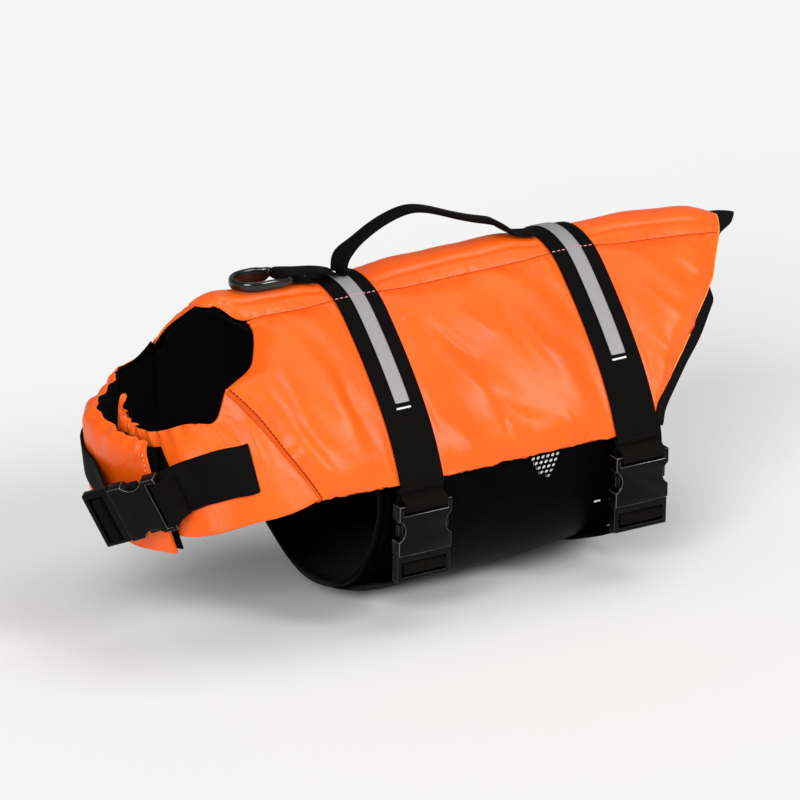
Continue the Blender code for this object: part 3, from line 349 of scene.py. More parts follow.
studio = {
    # name: azimuth, elevation, softness in degrees, strength
    "keyLight": (-48.0, 27.0, 28.0, 2.3),
    "sheenLight": (33.0, 31.0, 18.0, 1.5),
    "topLight": (70.0, 76.0, 50.0, 0.9),
}
studioSettings = {
    "lampDistance": 2.0, "world": "#F6F6F6", "worldStrength": 0.32, "floorGapMm": 1.0, "floorSize": 30.0,
}


def makeStudio():
    look = lookOf(studioSettings)
    for name, (azimuth, elevation, softness, strength) in studio.items():
        way = wayTo(azimuth, elevation)
        data = bpy.data.lights.new(name, "SUN")
        data.energy = strength
        data.angle = math.radians(softness)
        lamp = bpy.data.objects.new(name, data)
        lamp.location = way * look.lampDistance
        lamp.rotation_euler = (-way).to_track_quat("-Z", "Y").to_euler()
        bpy.context.scene.collection.objects.link(lamp)
    world = bpy.data.worlds.new("studioLight")
    world.use_nodes = True
    sky = world.node_tree.nodes["Background"]
    sky.inputs["Color"].default_value = hexColour(look.world)
    sky.inputs["Strength"].default_value = look.worldStrength
    bpy.context.scene.world = world
    bpy.context.scene.view_settings.view_transform = "Standard"
    half = look.floorSize / 2
    low = cadLow[2] - look.floorGap
    mesh = bpy.data.meshes.new("floor")
    mesh.from_pydata([(-half, -half, low), (half, -half, low), (half, half, low), (-half, half, low)], [],
                     [(0, 1, 2, 3)])
    floor = bpy.data.objects.new("floor", mesh)
    mesh.materials.append(newMaterial("paleFloor", floorLook))
    bpy.context.scene.collection.objects.link(floor)


makeCamera()
makeStudio()
print("camera and studio ready")


def newPiece(name, mesh, look, slot):
    # A visible piece with its finish
    piece = bpy.data.objects.new(name, mesh)
    bpy.context.scene.collection.objects.link(piece)
    mesh.materials.clear()
    mesh.materials.append(looks[look])
    mesh.shade_smooth()
    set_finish(piece, slot)
    return piece


def applied(piece):
    # The piece with its modifiers made real
    graph = bpy.context.evaluated_depsgraph_get()
    mesh = bpy.data.meshes.new_from_object(piece.evaluated_get(graph))
    piece.modifiers.clear()
    piece.data = mesh
    return piece


def nodeNet(node):
    # A node's mesh with its split points joined
    net = bmesh.new()
    net.from_mesh(frame["nodes"][node].data)
    bmesh.ops.remove_doubles(net, verts=net.verts, dist=0.02 * mm)
    return net


def squareNet(node, rimAngle, rimFirmness):
    # The same with its triangles paired to four-sided faces, and its sharp edges marked firm
    net = nodeNet(node)
    bmesh.ops.join_triangles(net, faces=net.faces, angle_face_threshold=math.radians(40),
                             angle_shape_threshold=math.radians(60))
    firm = net.edges.layers.float.new("crease_edge")
    for edge in net.edges:
        if edge.calc_face_angle(0.0) > math.radians(rimAngle):
            edge[firm] = rimFirmness
    return net


def netPiece(net, name, look, slot):
    mesh = bpy.data.meshes.new(name)
    net.to_mesh(mesh)
    net.free()
    return newPiece(name, mesh, look, slot)


def softCopy(node, name, look, slot, levels, rimAngle=50.0, rimFirmness=0.65):
    # A finer, smoother copy of a node that takes its place
    piece = netPiece(squareNet(node, rimAngle, rimFirmness), name, look, slot)
    smoother = piece.modifiers.new("smoother", "SUBSURF")
    smoother.levels = levels
    smoother.render_levels = levels
    applied(piece)
    piece.data.shade_smooth()
    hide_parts(node)
    return piece


def readMesh(piece):
    # Points and normals of a piece, as arrays
    mesh = piece.data
    points = np.empty(len(mesh.vertices) * 3)
    mesh.vertices.foreach_get("co", points)
    normals = np.empty(len(mesh.vertices) * 3)
    mesh.vertex_normals.foreach_get("vector", normals)
    return points.reshape(-1, 3), normals.reshape(-1, 3)


def movePoints(piece, points):
    piece.data.vertices.foreach_set("co", points.astype(np.float32).ravel())
    piece.data.update()


def smoothStep(value):
    value = np.clip(value, 0.0, 1.0)
    return value * value * (3 - 2 * value)


def outFrom(points, centre):
    # Directions away from a line through the piece: along X for the body and belly, along Z for the chest
    away = points - np.array(centre["at"])
    away[:, centre["along"]] = 0.0
    return away / np.maximum(np.linalg.norm(away, axis=1), 1e-9)[:, None]


bodyCentre = {"at": (0.0, 0.0, -0.090), "along": 0}
bellyCentre = {"at": (0.0, 0.0, -0.120), "along": 0, "radius": 0.11}
chestCentre = {"at": (-0.205, 0.0, -0.100), "along": 2, "radius": 0.09}


def rimEdges(node, centre):
    # The outer rim of a wall as a list of point pairs
    net = squareNet(node, 50.0, 0.5)
    firm = net.edges.layers.float["crease_edge"]
    pairs = []
    for edge in net.edges:
        if edge[firm] > 0:
            middle = (edge.verts[0].co + edge.verts[1].co) / 2
            out = Vector(outFrom(np.array([middle]), centre)[0])
            if max(face.normal.dot(out) for face in edge.link_faces) > 0.5:
                pairs.append([vert.co.copy() for vert in edge.verts])
    net.free()
    return pairs


def rimPoints(node, centre, step=1.5 * mm):
    points = []
    for start, end in rimEdges(node, centre):
        count = max(1, int((end - start).length / step))
        points += [start.lerp(end, k / count) for k in range(count + 1)]
    return points


def pointTree(points):
    tree = KDTree(len(points))
    for index, point in enumerate(points):
        tree.insert(point, index)
    tree.balance()
    return tree


def nearRim(points, rim):
    # For each point: its distance to the rim and the rim's nearest point
    tree = pointTree(rim)
    found = [tree.find(point) for point in points]
    return np.array([item[2] for item in found]), np.array([item[0] for item in found])


def clothMap(piece, across, along):
    # Real-size cloth coordinates in metres, for weaves and ribs
    mesh = piece.data
    layer = mesh.uv_layers.get("clothMap") or mesh.uv_layers.new(name="clothMap")
    index = np.empty(len(mesh.loops), dtype=np.int32)
    mesh.loops.foreach_get("vertex_index", index)
    pairs = np.stack([across[index], along[index]], 1)
    layer.uv.foreach_set("vector", pairs.astype(np.float32).ravel())


def lineInside(piece, centre):
    # The faces of a padded wall that look inwards are of the black lining cloth
    mesh = piece.data
    mesh.materials.append(looks["mesh"])
    middles = np.empty(len(mesh.polygons) * 3)
    mesh.polygons.foreach_get("center", middles)
    ways = np.empty(len(mesh.polygons) * 3)
    mesh.polygons.foreach_get("normal", ways)
    facing = np.einsum("ij,ij->i", ways.reshape(-1, 3), outFrom(middles.reshape(-1, 3), centre))
    inward = facing < -0.05  # a rim, square to it, is still of the outer cloth
    mesh.polygons.foreach_set("material_index", inward.astype(np.int32))


# Where the sewn edges and the belly stand a little off the plain cut: a place, a reach and a shift, in mm
edgeShifts = [
    # x, y, z, reach, x, y, z
    (-214, 52, -22, 20, -2, 0, 6),
    (-204, 30, 2, 16, -1, 0, 3.5),
    (-210, -15, 13, 11, 3, 0, 7),
    (-258, 52, -58, 18, -3, 1, 5),
    (-286, 32, -64, 20, -2, 1, 5),
    (-262, -96, -130, 20, 0, 0, 1.5),
    (-112, 45, -215, 30, 0, 0, 8.5),
    (-100, -30, -228, 30, 0, 0, -4.5),
    (105, -30, -235, 55, 0, 0, 7),
    (-208, -55, -27, 13, 5, 0, 0),
    (158, -98, -64, 18, -4.5, 0, 0),
    (158, 98, -64, 18, -3, 0, 0),
    (196, -66, -38, 14, -0.5, 0, 0),
    (124, -113, -102, 12, -4, 0, 0),
]


def shiftEdges(piece):
    points, _ = readMesh(piece)
    moved = points.copy()
    for row in edgeShifts:
        away = np.linalg.norm(points - np.array(row[:3]) * mm, axis=1)
        moved += np.exp(-(away / (row[3] * mm)) ** 2)[:, None] * np.array(row[4:]) * mm
    movePoints(piece, moved)


girthTable = []


def girthOf(points):
    # Signed distance round the body from the top of the back
    if not girthTable:
        tree = surfaceOf([frame["nodes"]["back_panel"], frame["nodes"]["side_panel_left"]])
        last = None
        total = 0.0
        for step in range(0, 121, 2):
            turn = math.radians(step)
            way = Vector((0.0, -math.sin(turn), math.cos(turn)))
            hit = tree.ray_cast(Vector(bodyCentre["at"]) + way * 0.3, -way)[0]
            if hit is None:
                continue
            if last is not None:
                total += (hit - last).length
            last = hit
            girthTable.append((turn, total))
    turns = np.arctan2(points[:, 1], points[:, 2] - bodyCentre["at"][2])
    table = np.array(girthTable)
    return np.sign(turns) * np.interp(np.abs(turns), table[:, 0], table[:, 1])


def mapBody(piece):
    points, _ = readMesh(piece)
    clothMap(piece, points[:, 0], girthOf(points))


def mapBelly(piece):
    points, _ = readMesh(piece)
    turns = np.arctan2(points[:, 1], -(points[:, 2] - bellyCentre["at"][2]))
    clothMap(piece, points[:, 0], turns * bellyCentre["radius"])


def chestRound(points):
    # Distance round the chest from its middle in front
    return np.arctan2(points[:, 1], -(points[:, 0] - chestCentre["at"][0])) * chestCentre["radius"]


def mapChest(piece):
    points, _ = readMesh(piece)
    clothMap(piece, points[:, 2], chestRound(points))


def mapSpine(piece):
    points, _ = readMesh(piece)
    clothMap(piece, points[:, 1], points[:, 0])


def surfaceOf(objects):
    # One search tree over several pieces
    corners = []
    faces = []
    for obj in objects:
        first = len(corners)
        corners += [vertex.co.copy() for vertex in obj.data.vertices]
        faces += [[first + index for index in face.vertices] for face in obj.data.polygons]
    return BVHTree.FromPolygons(corners, faces)


def fromSide(tree, x, z, side):
    # Where a line from that side meets the surface
    return tree.ray_cast(Vector((x, side * 0.4, z)), Vector((0.0, -side, 0.0)))[0]


# A fold is followed in steps; one flank is steeper, and its height is least at both ends
foldShape = {"steps": 12, "steepFlank": 0.55, "endPart": 0.04}


def foldPath(tree, row, side):
    # Points on the cloth along a fold whose middle bows sideways
    x0, z0, x1, z1, bow = row[:5]
    length = math.hypot(x1 - x0, z1 - z0)
    across = ((z1 - z0) / length, -(x1 - x0) / length)
    path = []
    for step in range(foldShape["steps"] + 1):
        part = step / foldShape["steps"]
        push = bow * math.sin(math.pi * part)
        x = (x0 + (x1 - x0) * part + across[0] * push) * mm
        z = (z0 + (z1 - z0) * part + across[1] * push) * mm
        hit = fromSide(tree, x, z, side)
        if hit is not None:
            path.append((np.array(hit), part))
    return path


def foldHeights(piece, rows, side, spread=1.0):
    # Soft folds: each row is x, z to x, z, sideways bow, half width and height in mm
    points, normals = readMesh(piece)
    tree = surfaceOf([piece])
    total = np.zeros(len(points))
    for row in rows:
        path = foldPath(tree, row, side)
        width, height = row[5] * spread * mm, row[6] * mm
        nearest = np.full(len(points), 1e9)
        place = np.zeros(len(points))
        flank = np.zeros(len(points))
        for (here, part0), (after, part1) in zip(path, path[1:]):
            run = after - here
            share = np.clip((points - here) @ run / (run @ run), 0.0, 1.0)
            away = points - here - share[:, None] * run
            distance = np.linalg.norm(away, axis=1)
            closer = distance < nearest
            nearest = np.where(closer, distance, nearest)
            place = np.where(closer, part0 + (part1 - part0) * share, place)
            lean = np.einsum("ij,ij->i", away, np.cross(run, normals))
            flank = np.where(closer, lean, flank)
        wide = np.where(flank > 0, width, width * foldShape["steepFlank"])
        fade = np.sin(np.pi * (foldShape["endPart"] + (1 - 2 * foldShape["endPart"]) * place))
        total += height * fade * np.exp(-(nearest / wide) ** 2)
    return total


def noiseHeights(points, size, seed):
    # Gentle unevenness about size wide, from -1 to 1
    shift = Vector((seed * 3.1, seed * 1.7, seed * 0.9))
    return np.array([noise.noise(Vector(point) / size + shift) for point in points])


def creaseField(across, down, turn, wide, long, seed):
    # Long soft creases that all run much the same way, from -1 to 1
    lean = math.radians(turn)
    onward = across * math.cos(lean) + down * math.sin(lean)
    sideways = down * math.cos(lean) - across * math.sin(lean)
    found = [noise.noise(Vector((q / wide, p / long, seed))) for p, q in zip(onward, sideways)]
    return np.array(found)


seamFlatMm = 2.0  # gathers grow over this width beside a seam


def puckers(distance, spots, look, seed):
    # Small gathers that stand square to a seam and die out away from it, in metres for each mm of height
    shift = Vector((seed, 0.0, 0.0))
    waves = np.array([noise.noise(Vector(spot) / look.puckerLength + shift) for spot in spots])
    rise = np.minimum(distance / (seamFlatMm * mm), 1.0)
    return waves * rise * np.exp(-distance / look.puckerReach) * mm


def facingOut(points, normals, centre, start=0.1):
    # 1 on the outer face of a wall, 0 on its inner face and rims
    return smoothStep((np.einsum("ij,ij->i", normals, outFrom(points, centre)) - start) / 0.5)


def startWall(node, name, look, centre):
    # A padded wall before its folds: points and normals, distance to its rim, nearest places on the rim, and
    # a share that is 0 at the rim and 1 beyond the roll of the edge
    piece = softCopy(node, name, "orange", "shell_cloth", look.levels)
    points, normals = readMesh(piece)
    distance, spots = nearRim(points, rimPoints(node, centre))
    return piece, points, normals, distance, spots, smoothStep(distance / look.edgeRoll)


# Both belts press the cloth flat
beltX = (-97.0, 97.0)
beltPress = {"halfWidthMm": 20.5, "fadeMm": 5.0}


def offTheBelts(points):
    gap = np.min([np.abs(points[:, 0] - x * mm) for x in beltX], axis=0) - beltPress["halfWidthMm"] * mm
    return smoothStep(gap / (beltPress["fadeMm"] * mm))


# Folds of the padded sides, as seen from the side; the right side has similar ones of its own
sideFolds = {
    leftSide: [
        # x, z, to x, z, bow, half width, height
        (-70, -17, -60, -12, 0, 3.5, -0.9),
        (-52, -16, -15, -50, 3, 6, -1.7),
        (-38, -9, -2, -36, -3, 8, 1.5),
        (14, -8, 40, -70, 5, 8, -1.4),
        (22, -30, 62, -62, 4, 9, 1.5),
        (-66, -34, -20, -88, -5, 12, 2.2),
        (-30, -60, 22, -96, 6, 8, -1.5),
        (-58, -72, -40, -110, 2, 7, -1.3),
        (-17, -84, -14, -100, 1, 3, -0.9),
        (2, -92, 6, -114, 1, 4, -1),
        (34, -88, 52, -112, 2, 6, 1.2),
        (-186, -20, -172, -84, 4, 8, -1.5),
        (-166, -12, -146, -82, -5, 11, 2.2),
        (-140, -30, -128, -92, 3, 7, -1.6),
        (-196, -50, -170, -104, 3, 8, 1.4),
        (-134, -96, -126, -114, 1, 3.5, -1.1),
        (136, -22, 172, -52, 5, 9, 1.6),
        (132, -48, 156, -84, 3, 8, -1.4),
        (176, -14, 204, -36, 3, 7, -1.2),
    ],
    rightSide: [
        (-60, -20, -24, -58, -4, 7, -1.6),
        (-42, -12, 4, -44, 4, 8, 1.6),
        (22, -12, 44, -74, -4, 8, -1.5),
        (-62, -48, -10, -92, 5, 12, 2.1),
        (-4, -58, 58, -88, 5, 9, -1.4),
        (14, -90, 20, -112, 1, 4, -1.1),
        (-48, -88, -40, -112, 1, 4, -1),
        (-170, -18, -150, -86, -4, 10, 2),
        (-138, -34, -130, -100, 3, 7, -1.6),
        (-190, -44, -170, -104, 3, 8, -1.3),
        (140, -26, 178, -58, -4, 9, 1.5),
        (130, -56, 150, -90, 3, 7, -1.3),
    ],
}
sideSettings = {
    "levels": 3, "edgeRollMm": 6.0, "waveSizeMm": 46.0, "waveMm": 1.2, "foldScale": 1.5, "foldSpread": 1.35,
    "creaseTurn": 52.0, "creaseWideMm": 22.0, "creaseLongMm": 80.0, "creaseMm": 2.2,
    "puckerLengthMm": 5.5, "puckerReachMm": 8.0, "puckerMm": 1.9,
    "hemWaveMm": 1.5, "hemWaveLengthMm": 9.0, "hemBelowMm": -95.0, "hemFadeMm": 8.0, "hemReachMm": 7.0,
    "hemAtBelts": 0.4, "seamDipMm": -0.9, "seamDipWideMm": 6.0, "seamBeforeMm": -176.0, "seamBelowMm": -34.0,
    "seamFadeMm": 6.0,
}


def makeSide(node, name, side):
    look = lookOf(sideSettings)
    piece, points, normals, distance, spots, inside = startWall(node, name, look, bodyCentre)
    free = offTheBelts(points)
    girth = np.abs(girthOf(points))
    lift = foldHeights(piece, sideFolds[side], side, look.foldSpread) * look.foldScale
    lift += noiseHeights(points, look.waveSize, 2.0 + side) * look.wave
    lift += creaseField(points[:, 0], girth, look.creaseTurn, look.creaseWide,
                        look.creaseLong, 4.0 + side) * look.crease
    lift *= inside * free
    lift += puckers(distance, spots, look, 3.0 * side) * look.puckerMm * free
    atSeam = smoothStep((look.seamBefore - spots[:, 0]) / look.seamFade)
    atSeam *= smoothStep((look.seamBelow - spots[:, 2]) / look.seamFade)
    lift -= look.seamDip * atSeam * np.exp(-(distance / look.seamDipWide) ** 2)
    moved = points + normals * (lift * facingOut(points, normals, bodyCentre))[:, None]
    atHem = smoothStep((look.hemBelow - spots[:, 2]) / look.hemFade)
    atHem *= np.exp(-distance / look.hemReach)
    atHem *= look.hemAtBelts + (1 - look.hemAtBelts) * free
    waves = [noise.noise(Vector(spot) / look.hemWaveLength + Vector((0.0, 6.0 * side, 0.0)))
             for spot in spots]
    moved[:, 2] += np.array(waves) * atHem * look.hemWave
    movePoints(piece, moved)
    lineInside(piece, bodyCentre)
    mapBody(piece)
    return piece


backSettings = {
    "levels": 3, "edgeRollMm": 5.0, "waveSizeMm": 30.0, "waveMm": 0.9,
    "puckerLengthMm": 6.0, "puckerReachMm": 6.0, "puckerMm": 1.5,
    "grooveAtMm": (-14.5, 12.5), "grooveWidthMm": 2.4, "grooveMm": -1.9, "swayMm": 2.2, "swayPerMetre": 22.0,
}


def makeBack():
    look = lookOf(backSettings)
    piece, points, normals, distance, spots, inside = startWall("back_panel", "backPanel", look, bodyCentre)
    free = offTheBelts(points)
    lift = noiseHeights(points, look.waveSize, 7.0) * look.wave * inside * free
    lift += puckers(distance, spots, look, 9.0) * look.puckerMm * free
    for y in look.grooveAtMm:
        sway = [noise.noise(Vector((x * look.swayPerMetre, y, 0.0))) for x in points[:, 0]]
        gap = np.abs(points[:, 1] - y * mm - np.array(sway) * look.sway)
        lift += look.groove * np.exp(-(gap / look.grooveWidth) ** 2) * inside * free
    movePoints(piece, points + normals * (lift * facingOut(points, normals, bodyCentre))[:, None])
    lineInside(piece, bodyCentre)
    mapBody(piece)
    return piece


panelLeft = makeSide("side_panel_left", "sidePanelLeft", leftSide)
panelRight = makeSide("side_panel_right", "sidePanelRight", rightSide)
panelBack = makeBack()
print("back and sides ready")


# Folds of the chest flaps, seen from the side: short, upright, from the gathered collar down
flapFolds = {
    leftSide: [
        (-226, -56, -222, -84, 1, 5, 1.3),
        (-236, -60, -236, -92, -1, 5, -1.2),
        (-247, -62, -248, -86, 1, 5, 1.2),
        (-258, -66, -256, -80, 0, 4, -1),
    ],
    rightSide: [
        (-224, -58, -218, -92, 1, 6, 1.3),
        (-238, -60, -236, -96, -1, 6, -1.2),
        (-252, -66, -250, -104, 1, 6, 1.2),
    ],
}
flapSettings = {
    "levels": 3, "edgeRollMm": 4.0, "waveSizeMm": 30.0, "waveMm": 1.2,
    "creaseTurn": 78.0, "creaseWideMm": 15.0, "creaseLongMm": 46.0, "creaseMm": 0.9,
    "puckerLengthMm": 9.0, "puckerReachMm": 10.0, "puckerMm": 2.0, "hemPuckerMm": 0.8,
    "calmByTheSeamMm": 12.0, "calmStart": 0.15, "seamRiseMm": -1.6, "seamRiseWideMm": 5.0,
    # where each starts, and over how much it grows
    "collarAboveMm": (-95.0, 15.0), "gatheredFromMm": (5.0, 9.0), "seamRiseBelowMm": (-44.0, 16.0),
}


def makeFlap(node, name, side, neighbour):
    look = lookOf(flapSettings)
    piece, points, normals, distance, spots, inside = startWall(node, name, look, chestCentre)
    sewn = rimPoints(neighbour, bodyCentre)
    sewnAway = nearRim(points, sewn)[0]
    calm = smoothStep(sewnAway / look.calmByTheSeam - look.calmStart)
    start, grow = look.gatheredFrom
    gathered = smoothStep((nearRim(spots, sewn)[0] - start) / grow)
    inside = inside * calm
    start, grow = look.collarAbove
    collar = smoothStep((spots[:, 2] - start) / grow)
    strength = look.puckerMm * collar + look.hemPuckerMm * (1 - collar)
    lift = foldHeights(piece, flapFolds[side], side) * inside
    lift += noiseHeights(points, look.waveSize, 12.0 + side) * look.wave * inside
    lift += creaseField(chestRound(points), points[:, 2], look.creaseTurn, look.creaseWide,
                        look.creaseLong, 14.0 + side) * look.crease * inside
    lift += puckers(distance, spots, look, 5.0 * side) * strength * calm * gathered
    start, grow = look.seamRiseBelow
    below = smoothStep((start - points[:, 2]) / grow)
    lift += look.seamRise * below * np.exp(-(sewnAway / look.seamRiseWide) ** 2)
    movePoints(piece, points + normals * (lift * facingOut(points, normals, chestCentre, 0.05))[:, None])
    lineInside(piece, chestCentre)
    mapChest(piece)
    return piece


flapLeft = makeFlap("chest_flap_left", "chestFlapLeft", leftSide, "side_panel_left")
flapRight = makeFlap("chest_flap_right", "chestFlapRight", rightSide, "side_panel_right")
print("chest flaps ready")


def thinCloth(node, name, look, slot, mapper):
    piece = softCopy(node, name, look, slot, 2, rimFirmness=0.8)
    mapper(piece)
    return piece


lining = thinCloth("lining", "bodyLining", "mesh", "lining_mesh", mapBody)
liningLeft = thinCloth("flap_lining_left", "flapLiningLeft", "mesh", "lining_mesh", mapChest)
liningRight = thinCloth("flap_lining_right", "flapLiningRight", "mesh", "lining_mesh", mapChest)
belly = thinCloth("belly_panel", "bellyPanel", "belly", "belly_cloth", mapBelly)
tailEdge = thinCloth("tail_binding", "tailBinding", "binding", "binding_tape", mapBody)
tuckLook = {"startMm": 11.0, "toMm": 54.0, "fadeMm": 12.0, "deepMm": 9.0}


def tuckTailEdge():
    # The binding turns under the panels between the tail point and the flanks
    look = lookOf(tuckLook)
    points, _ = readMesh(tailEdge)
    apart = np.abs(points[:, 1])
    share = smoothStep((apart - look.start) / look.fade)
    share *= 1 - smoothStep((apart - look.to) / look.fade)
    points[:, 0] -= share * look.deep
    movePoints(tailEdge, points)


tuckTailEdge()
bellyFront = thinCloth("belly_binding_front", "bellyBindingFront", "belly", "binding_tape", mapBelly)
bellyRear = thinCloth("belly_binding_rear", "bellyBindingRear", "belly", "binding_tape", mapBelly)
thinCloth("closing_patch", "closingPatch", "mesh", "hook_tape", mapChest)
belts = []
strips = []
for spot in ("front", "rear"):
    belts.append(thinCloth("belt_" + spot, "belt" + spot.title(), "webbing", "webbing", mapBody))
    strips.append(thinCloth("reflective_strip_" + spot, "reflectiveStrip" + spot.title(), "tape",
                            "reflective_tape", mapBody))
    thinCloth("belly_strap_" + spot, "bellyStrap" + spot.title(), "webbing", "webbing", mapBelly)
thinCloth("neck_strap_left", "neckStrapLeft", "webbing", "webbing", mapChest)
thinCloth("neck_strap_right", "neckStrapRight", "webbing", "webbing", mapChest)
ringLoop = thinCloth("ring_loop", "ringLoop", "webbing", "webbing", mapSpine)
handle = thinCloth("handle", "handleWebbing", "webbing", "webbing", mapSpine)
print("lining, belly and webbing ready")


def bevelledCopy(node, name, look, slot, widthMm):
    # A hard piece with small rounded edges that catch the light
    net = nodeNet(node)
    bmesh.ops.dissolve_limit(net, angle_limit=math.radians(1.0), verts=net.verts, edges=net.edges)
    piece = netPiece(net, name, look, slot)
    # the rounded edges take the lighter edge material: a painted highlight
    piece.data.materials.append(looks[look + "Edge"])
    rounder = piece.modifiers.new("rounder", "BEVEL")
    rounder.material = 1
    rounder.width = widthMm * mm
    rounder.segments = 2
    rounder.limit_method = "ANGLE"
    rounder.angle_limit = math.radians(40)
    applied(piece)
    piece.data.shade_smooth()
    piece.data.set_sharp_from_angle(angle=math.radians(35))
    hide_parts(node)


for spot in ("front", "rear", "neck"):
    for kind in ("socket", "plug"):
        bevelledCopy(f"buckle_{spot}_{kind}", f"buckle{spot.title()}{kind.title()}", "plastic",
                     "buckle_plastic", 0.35)
leashRing = softCopy("leash_ring", "leashRing", "ring", "ring_plastic", 2, rimAngle=70.0, rimFirmness=0.0)
ringBow = {
    "startMm": -152.0, "fadeMm": 8.0, "middleMm": 18.5, "middleFadeMm": 1.5, "moreMm": 1.4,
    "longerMm": 5.5, "endMm": -187.0, "longestShare": 1.1,
    "farFromMm": 9.0, "farFadeMm": 5.0, "farDeeperMm": 4.4, "farStartMm": -145.0, "farStartFadeMm": 6.0,
}


def deepenRing():
    # The bow of the ring is deeper than its bar, most on the far side, and reaches on to the front
    look = lookOf(ringBow)
    points, _ = readMesh(leashRing)
    away = smoothStep((look.start - points[:, 0]) / look.fade)
    upper = smoothStep((points[:, 2] - look.middle) / look.middleFade)
    far = smoothStep((points[:, 1] - look.farFrom) / look.farFade)
    far *= smoothStep((look.farStart - points[:, 0]) / look.farStartFade)
    points[:, 2] += (away * upper * look.moreMm - (1.0 - upper) * far * look.farDeeperMm) * mm
    share = (look.start - points[:, 0]) / (look.start - look.end)
    share = np.clip(share, 0.0, look.longestShare)
    points[:, 0] -= share * look.longer
    movePoints(leashRing, points)


deepenRing()
print("buckles and ring ready")


def ringAround(centre, side, up, wide, thick, corners=6, square=1.0):
    # One cross-section: an ellipse, or a rounded rectangle where square is small
    points = []
    for corner in range(corners):
        turn = 2 * math.pi * (corner + 0.5) / corners
        across = math.copysign(abs(math.cos(turn)) ** square, math.cos(turn))
        rise = math.copysign(abs(math.sin(turn)) ** square, math.sin(turn))
        points.append(Vector(centre) + side * (wide * across) + up * (thick * rise))
    return points


def facesPiece(name, corners, faces, look, slot, join=0.0):
    # A piece from its corners and faces, all turned outwards
    mesh = bpy.data.meshes.new(name)
    mesh.from_pydata(corners, [], faces)
    net = bmesh.new()
    net.from_mesh(mesh)
    if join:
        bmesh.ops.remove_doubles(net, verts=net.verts, dist=join)
    bmesh.ops.recalc_face_normals(net, faces=net.faces)
    net.to_mesh(mesh)
    net.free()
    return newPiece(name, mesh, look, slot)


def skinsMesh(name, skins, look, slot):
    # Closed skins, each through its own rings of points, in one piece
    corners = []
    faces = []
    for rings in skins:
        first = len(corners)
        count = len(rings[0])
        for ring in rings:
            corners += ring
        for level in range(len(rings) - 1):
            for corner in range(count):
                here = first + level * count + corner
                after = first + level * count + (corner + 1) % count
                faces.append((here, after, after + count, here + count))
        faces.append(tuple(reversed(range(first, first + count))))
        faces.append(tuple(range(first + (len(rings) - 1) * count, first + len(rings) * count)))
    return facesPiece(name, corners, faces, look, slot)


def pathSides(points, ups):
    # Sideways directions along a path
    return [(after - before).cross(up).normalized()
            for before, after, up in zip(points[:1] + points, points[1:] + points[-1:], ups)]


def cordSkin(points, ups, radius):
    sides = pathSides(points, ups)
    return [ringAround(point, side, up, radius, radius)
            for point, side, up in zip(points, sides, ups)]


def stitchSkin(start, end, up, wide, thick):
    # One stitch: a short thread that dips into the cloth at both ends
    onward = end - start
    side = onward.cross(up).normalized()
    rings = []
    for part, size, dip in ((0.0, 0.5, -0.5), (0.18, 1.0, 0.1), (0.82, 1.0, 0.1), (1.0, 0.5, -0.5)):
        centre = start + onward * part + up * (thick * dip)
        rings.append(ringAround(centre, side, up, wide * size, thick * size))
    return rings


def alongPath(points, ups, distance):
    # The place at a distance along a path
    for index in range(len(points) - 1):
        length = (points[index + 1] - points[index]).length
        if distance <= length or index == len(points) - 2:
            part = min(1.0, distance / max(length, 1e-9))
            up = ups[index].lerp(ups[index + 1], part).normalized()
            return points[index].lerp(points[index + 1], part), up
        distance -= length
    return points[-1], ups[-1]


def stitchLine(points, ups, length, gap, wide=0.42 * mm, thick=0.3 * mm):
    total = sum((after - here).length for here, after in zip(points, points[1:]))
    count = max(1, int((total + gap) / (length + gap)))
    step = total / count
    skins = []
    for number in range(count):
        start, up = alongPath(points, ups, number * step)
        end, _ = alongPath(points, ups, number * step + length * step / (length + gap))
        skins.append(stitchSkin(start, end, up, wide, thick))
    return skins


def chained(pairs):
    # Point pairs joined end to end into lines, always onward in the straightest way
    pairs = [[tuple(round(value, 5) for value in point) for point in pair] for pair in pairs]
    ends = {}
    for number, pair in enumerate(pairs):
        for point in pair:
            ends.setdefault(point, []).append(number)
    unused = set(range(len(pairs)))
    lines = []
    while unused:
        starts = [point for point, numbers in ends.items() if len(unused.intersection(numbers)) == 1]
        here = starts[0] if starts else pairs[min(unused)][0]
        line = [Vector(here)]
        while True:
            choices = []
            for number in unused.intersection(ends[here]):
                after = pairs[number][1] if pairs[number][0] == here else pairs[number][0]
                onward = (Vector(after) - line[-1]).normalized()
                bend = onward.dot((line[-1] - line[-2]).normalized()) if len(line) > 1 else 0.0
                choices.append((bend, number, after))
            if not choices:
                break
            _, number, here = max(choices)
            unused.discard(number)
            line.append(Vector(here))
        lines.append(line)
    return lines


def seamRuns(nodeOne, nodeTwo, centre, reach=3.2 * mm, step=1.5 * mm):
    # Runs of points midway between the outer rims of two neighbouring walls
    tree = pointTree(rimPoints(nodeTwo, centre))
    runs = []
    for line in chained(rimEdges(nodeOne, centre)):
        run = []
        for start, end in zip(line, line[1:]):
            count = max(1, int((end - start).length / step))
            for k in range(count):
                point = start.lerp(end, k / count)
                near, _, distance = tree.find(point)
                if distance < reach:
                    run.append((point + near) / 2)
                elif run:
                    runs.append(run)
                    run = []
        runs.append(run)
    return [run for run in runs if len(run) > 5]


def upsAt(points, centre):
    return [Vector(out) for out in outFrom(np.array(points), centre)]
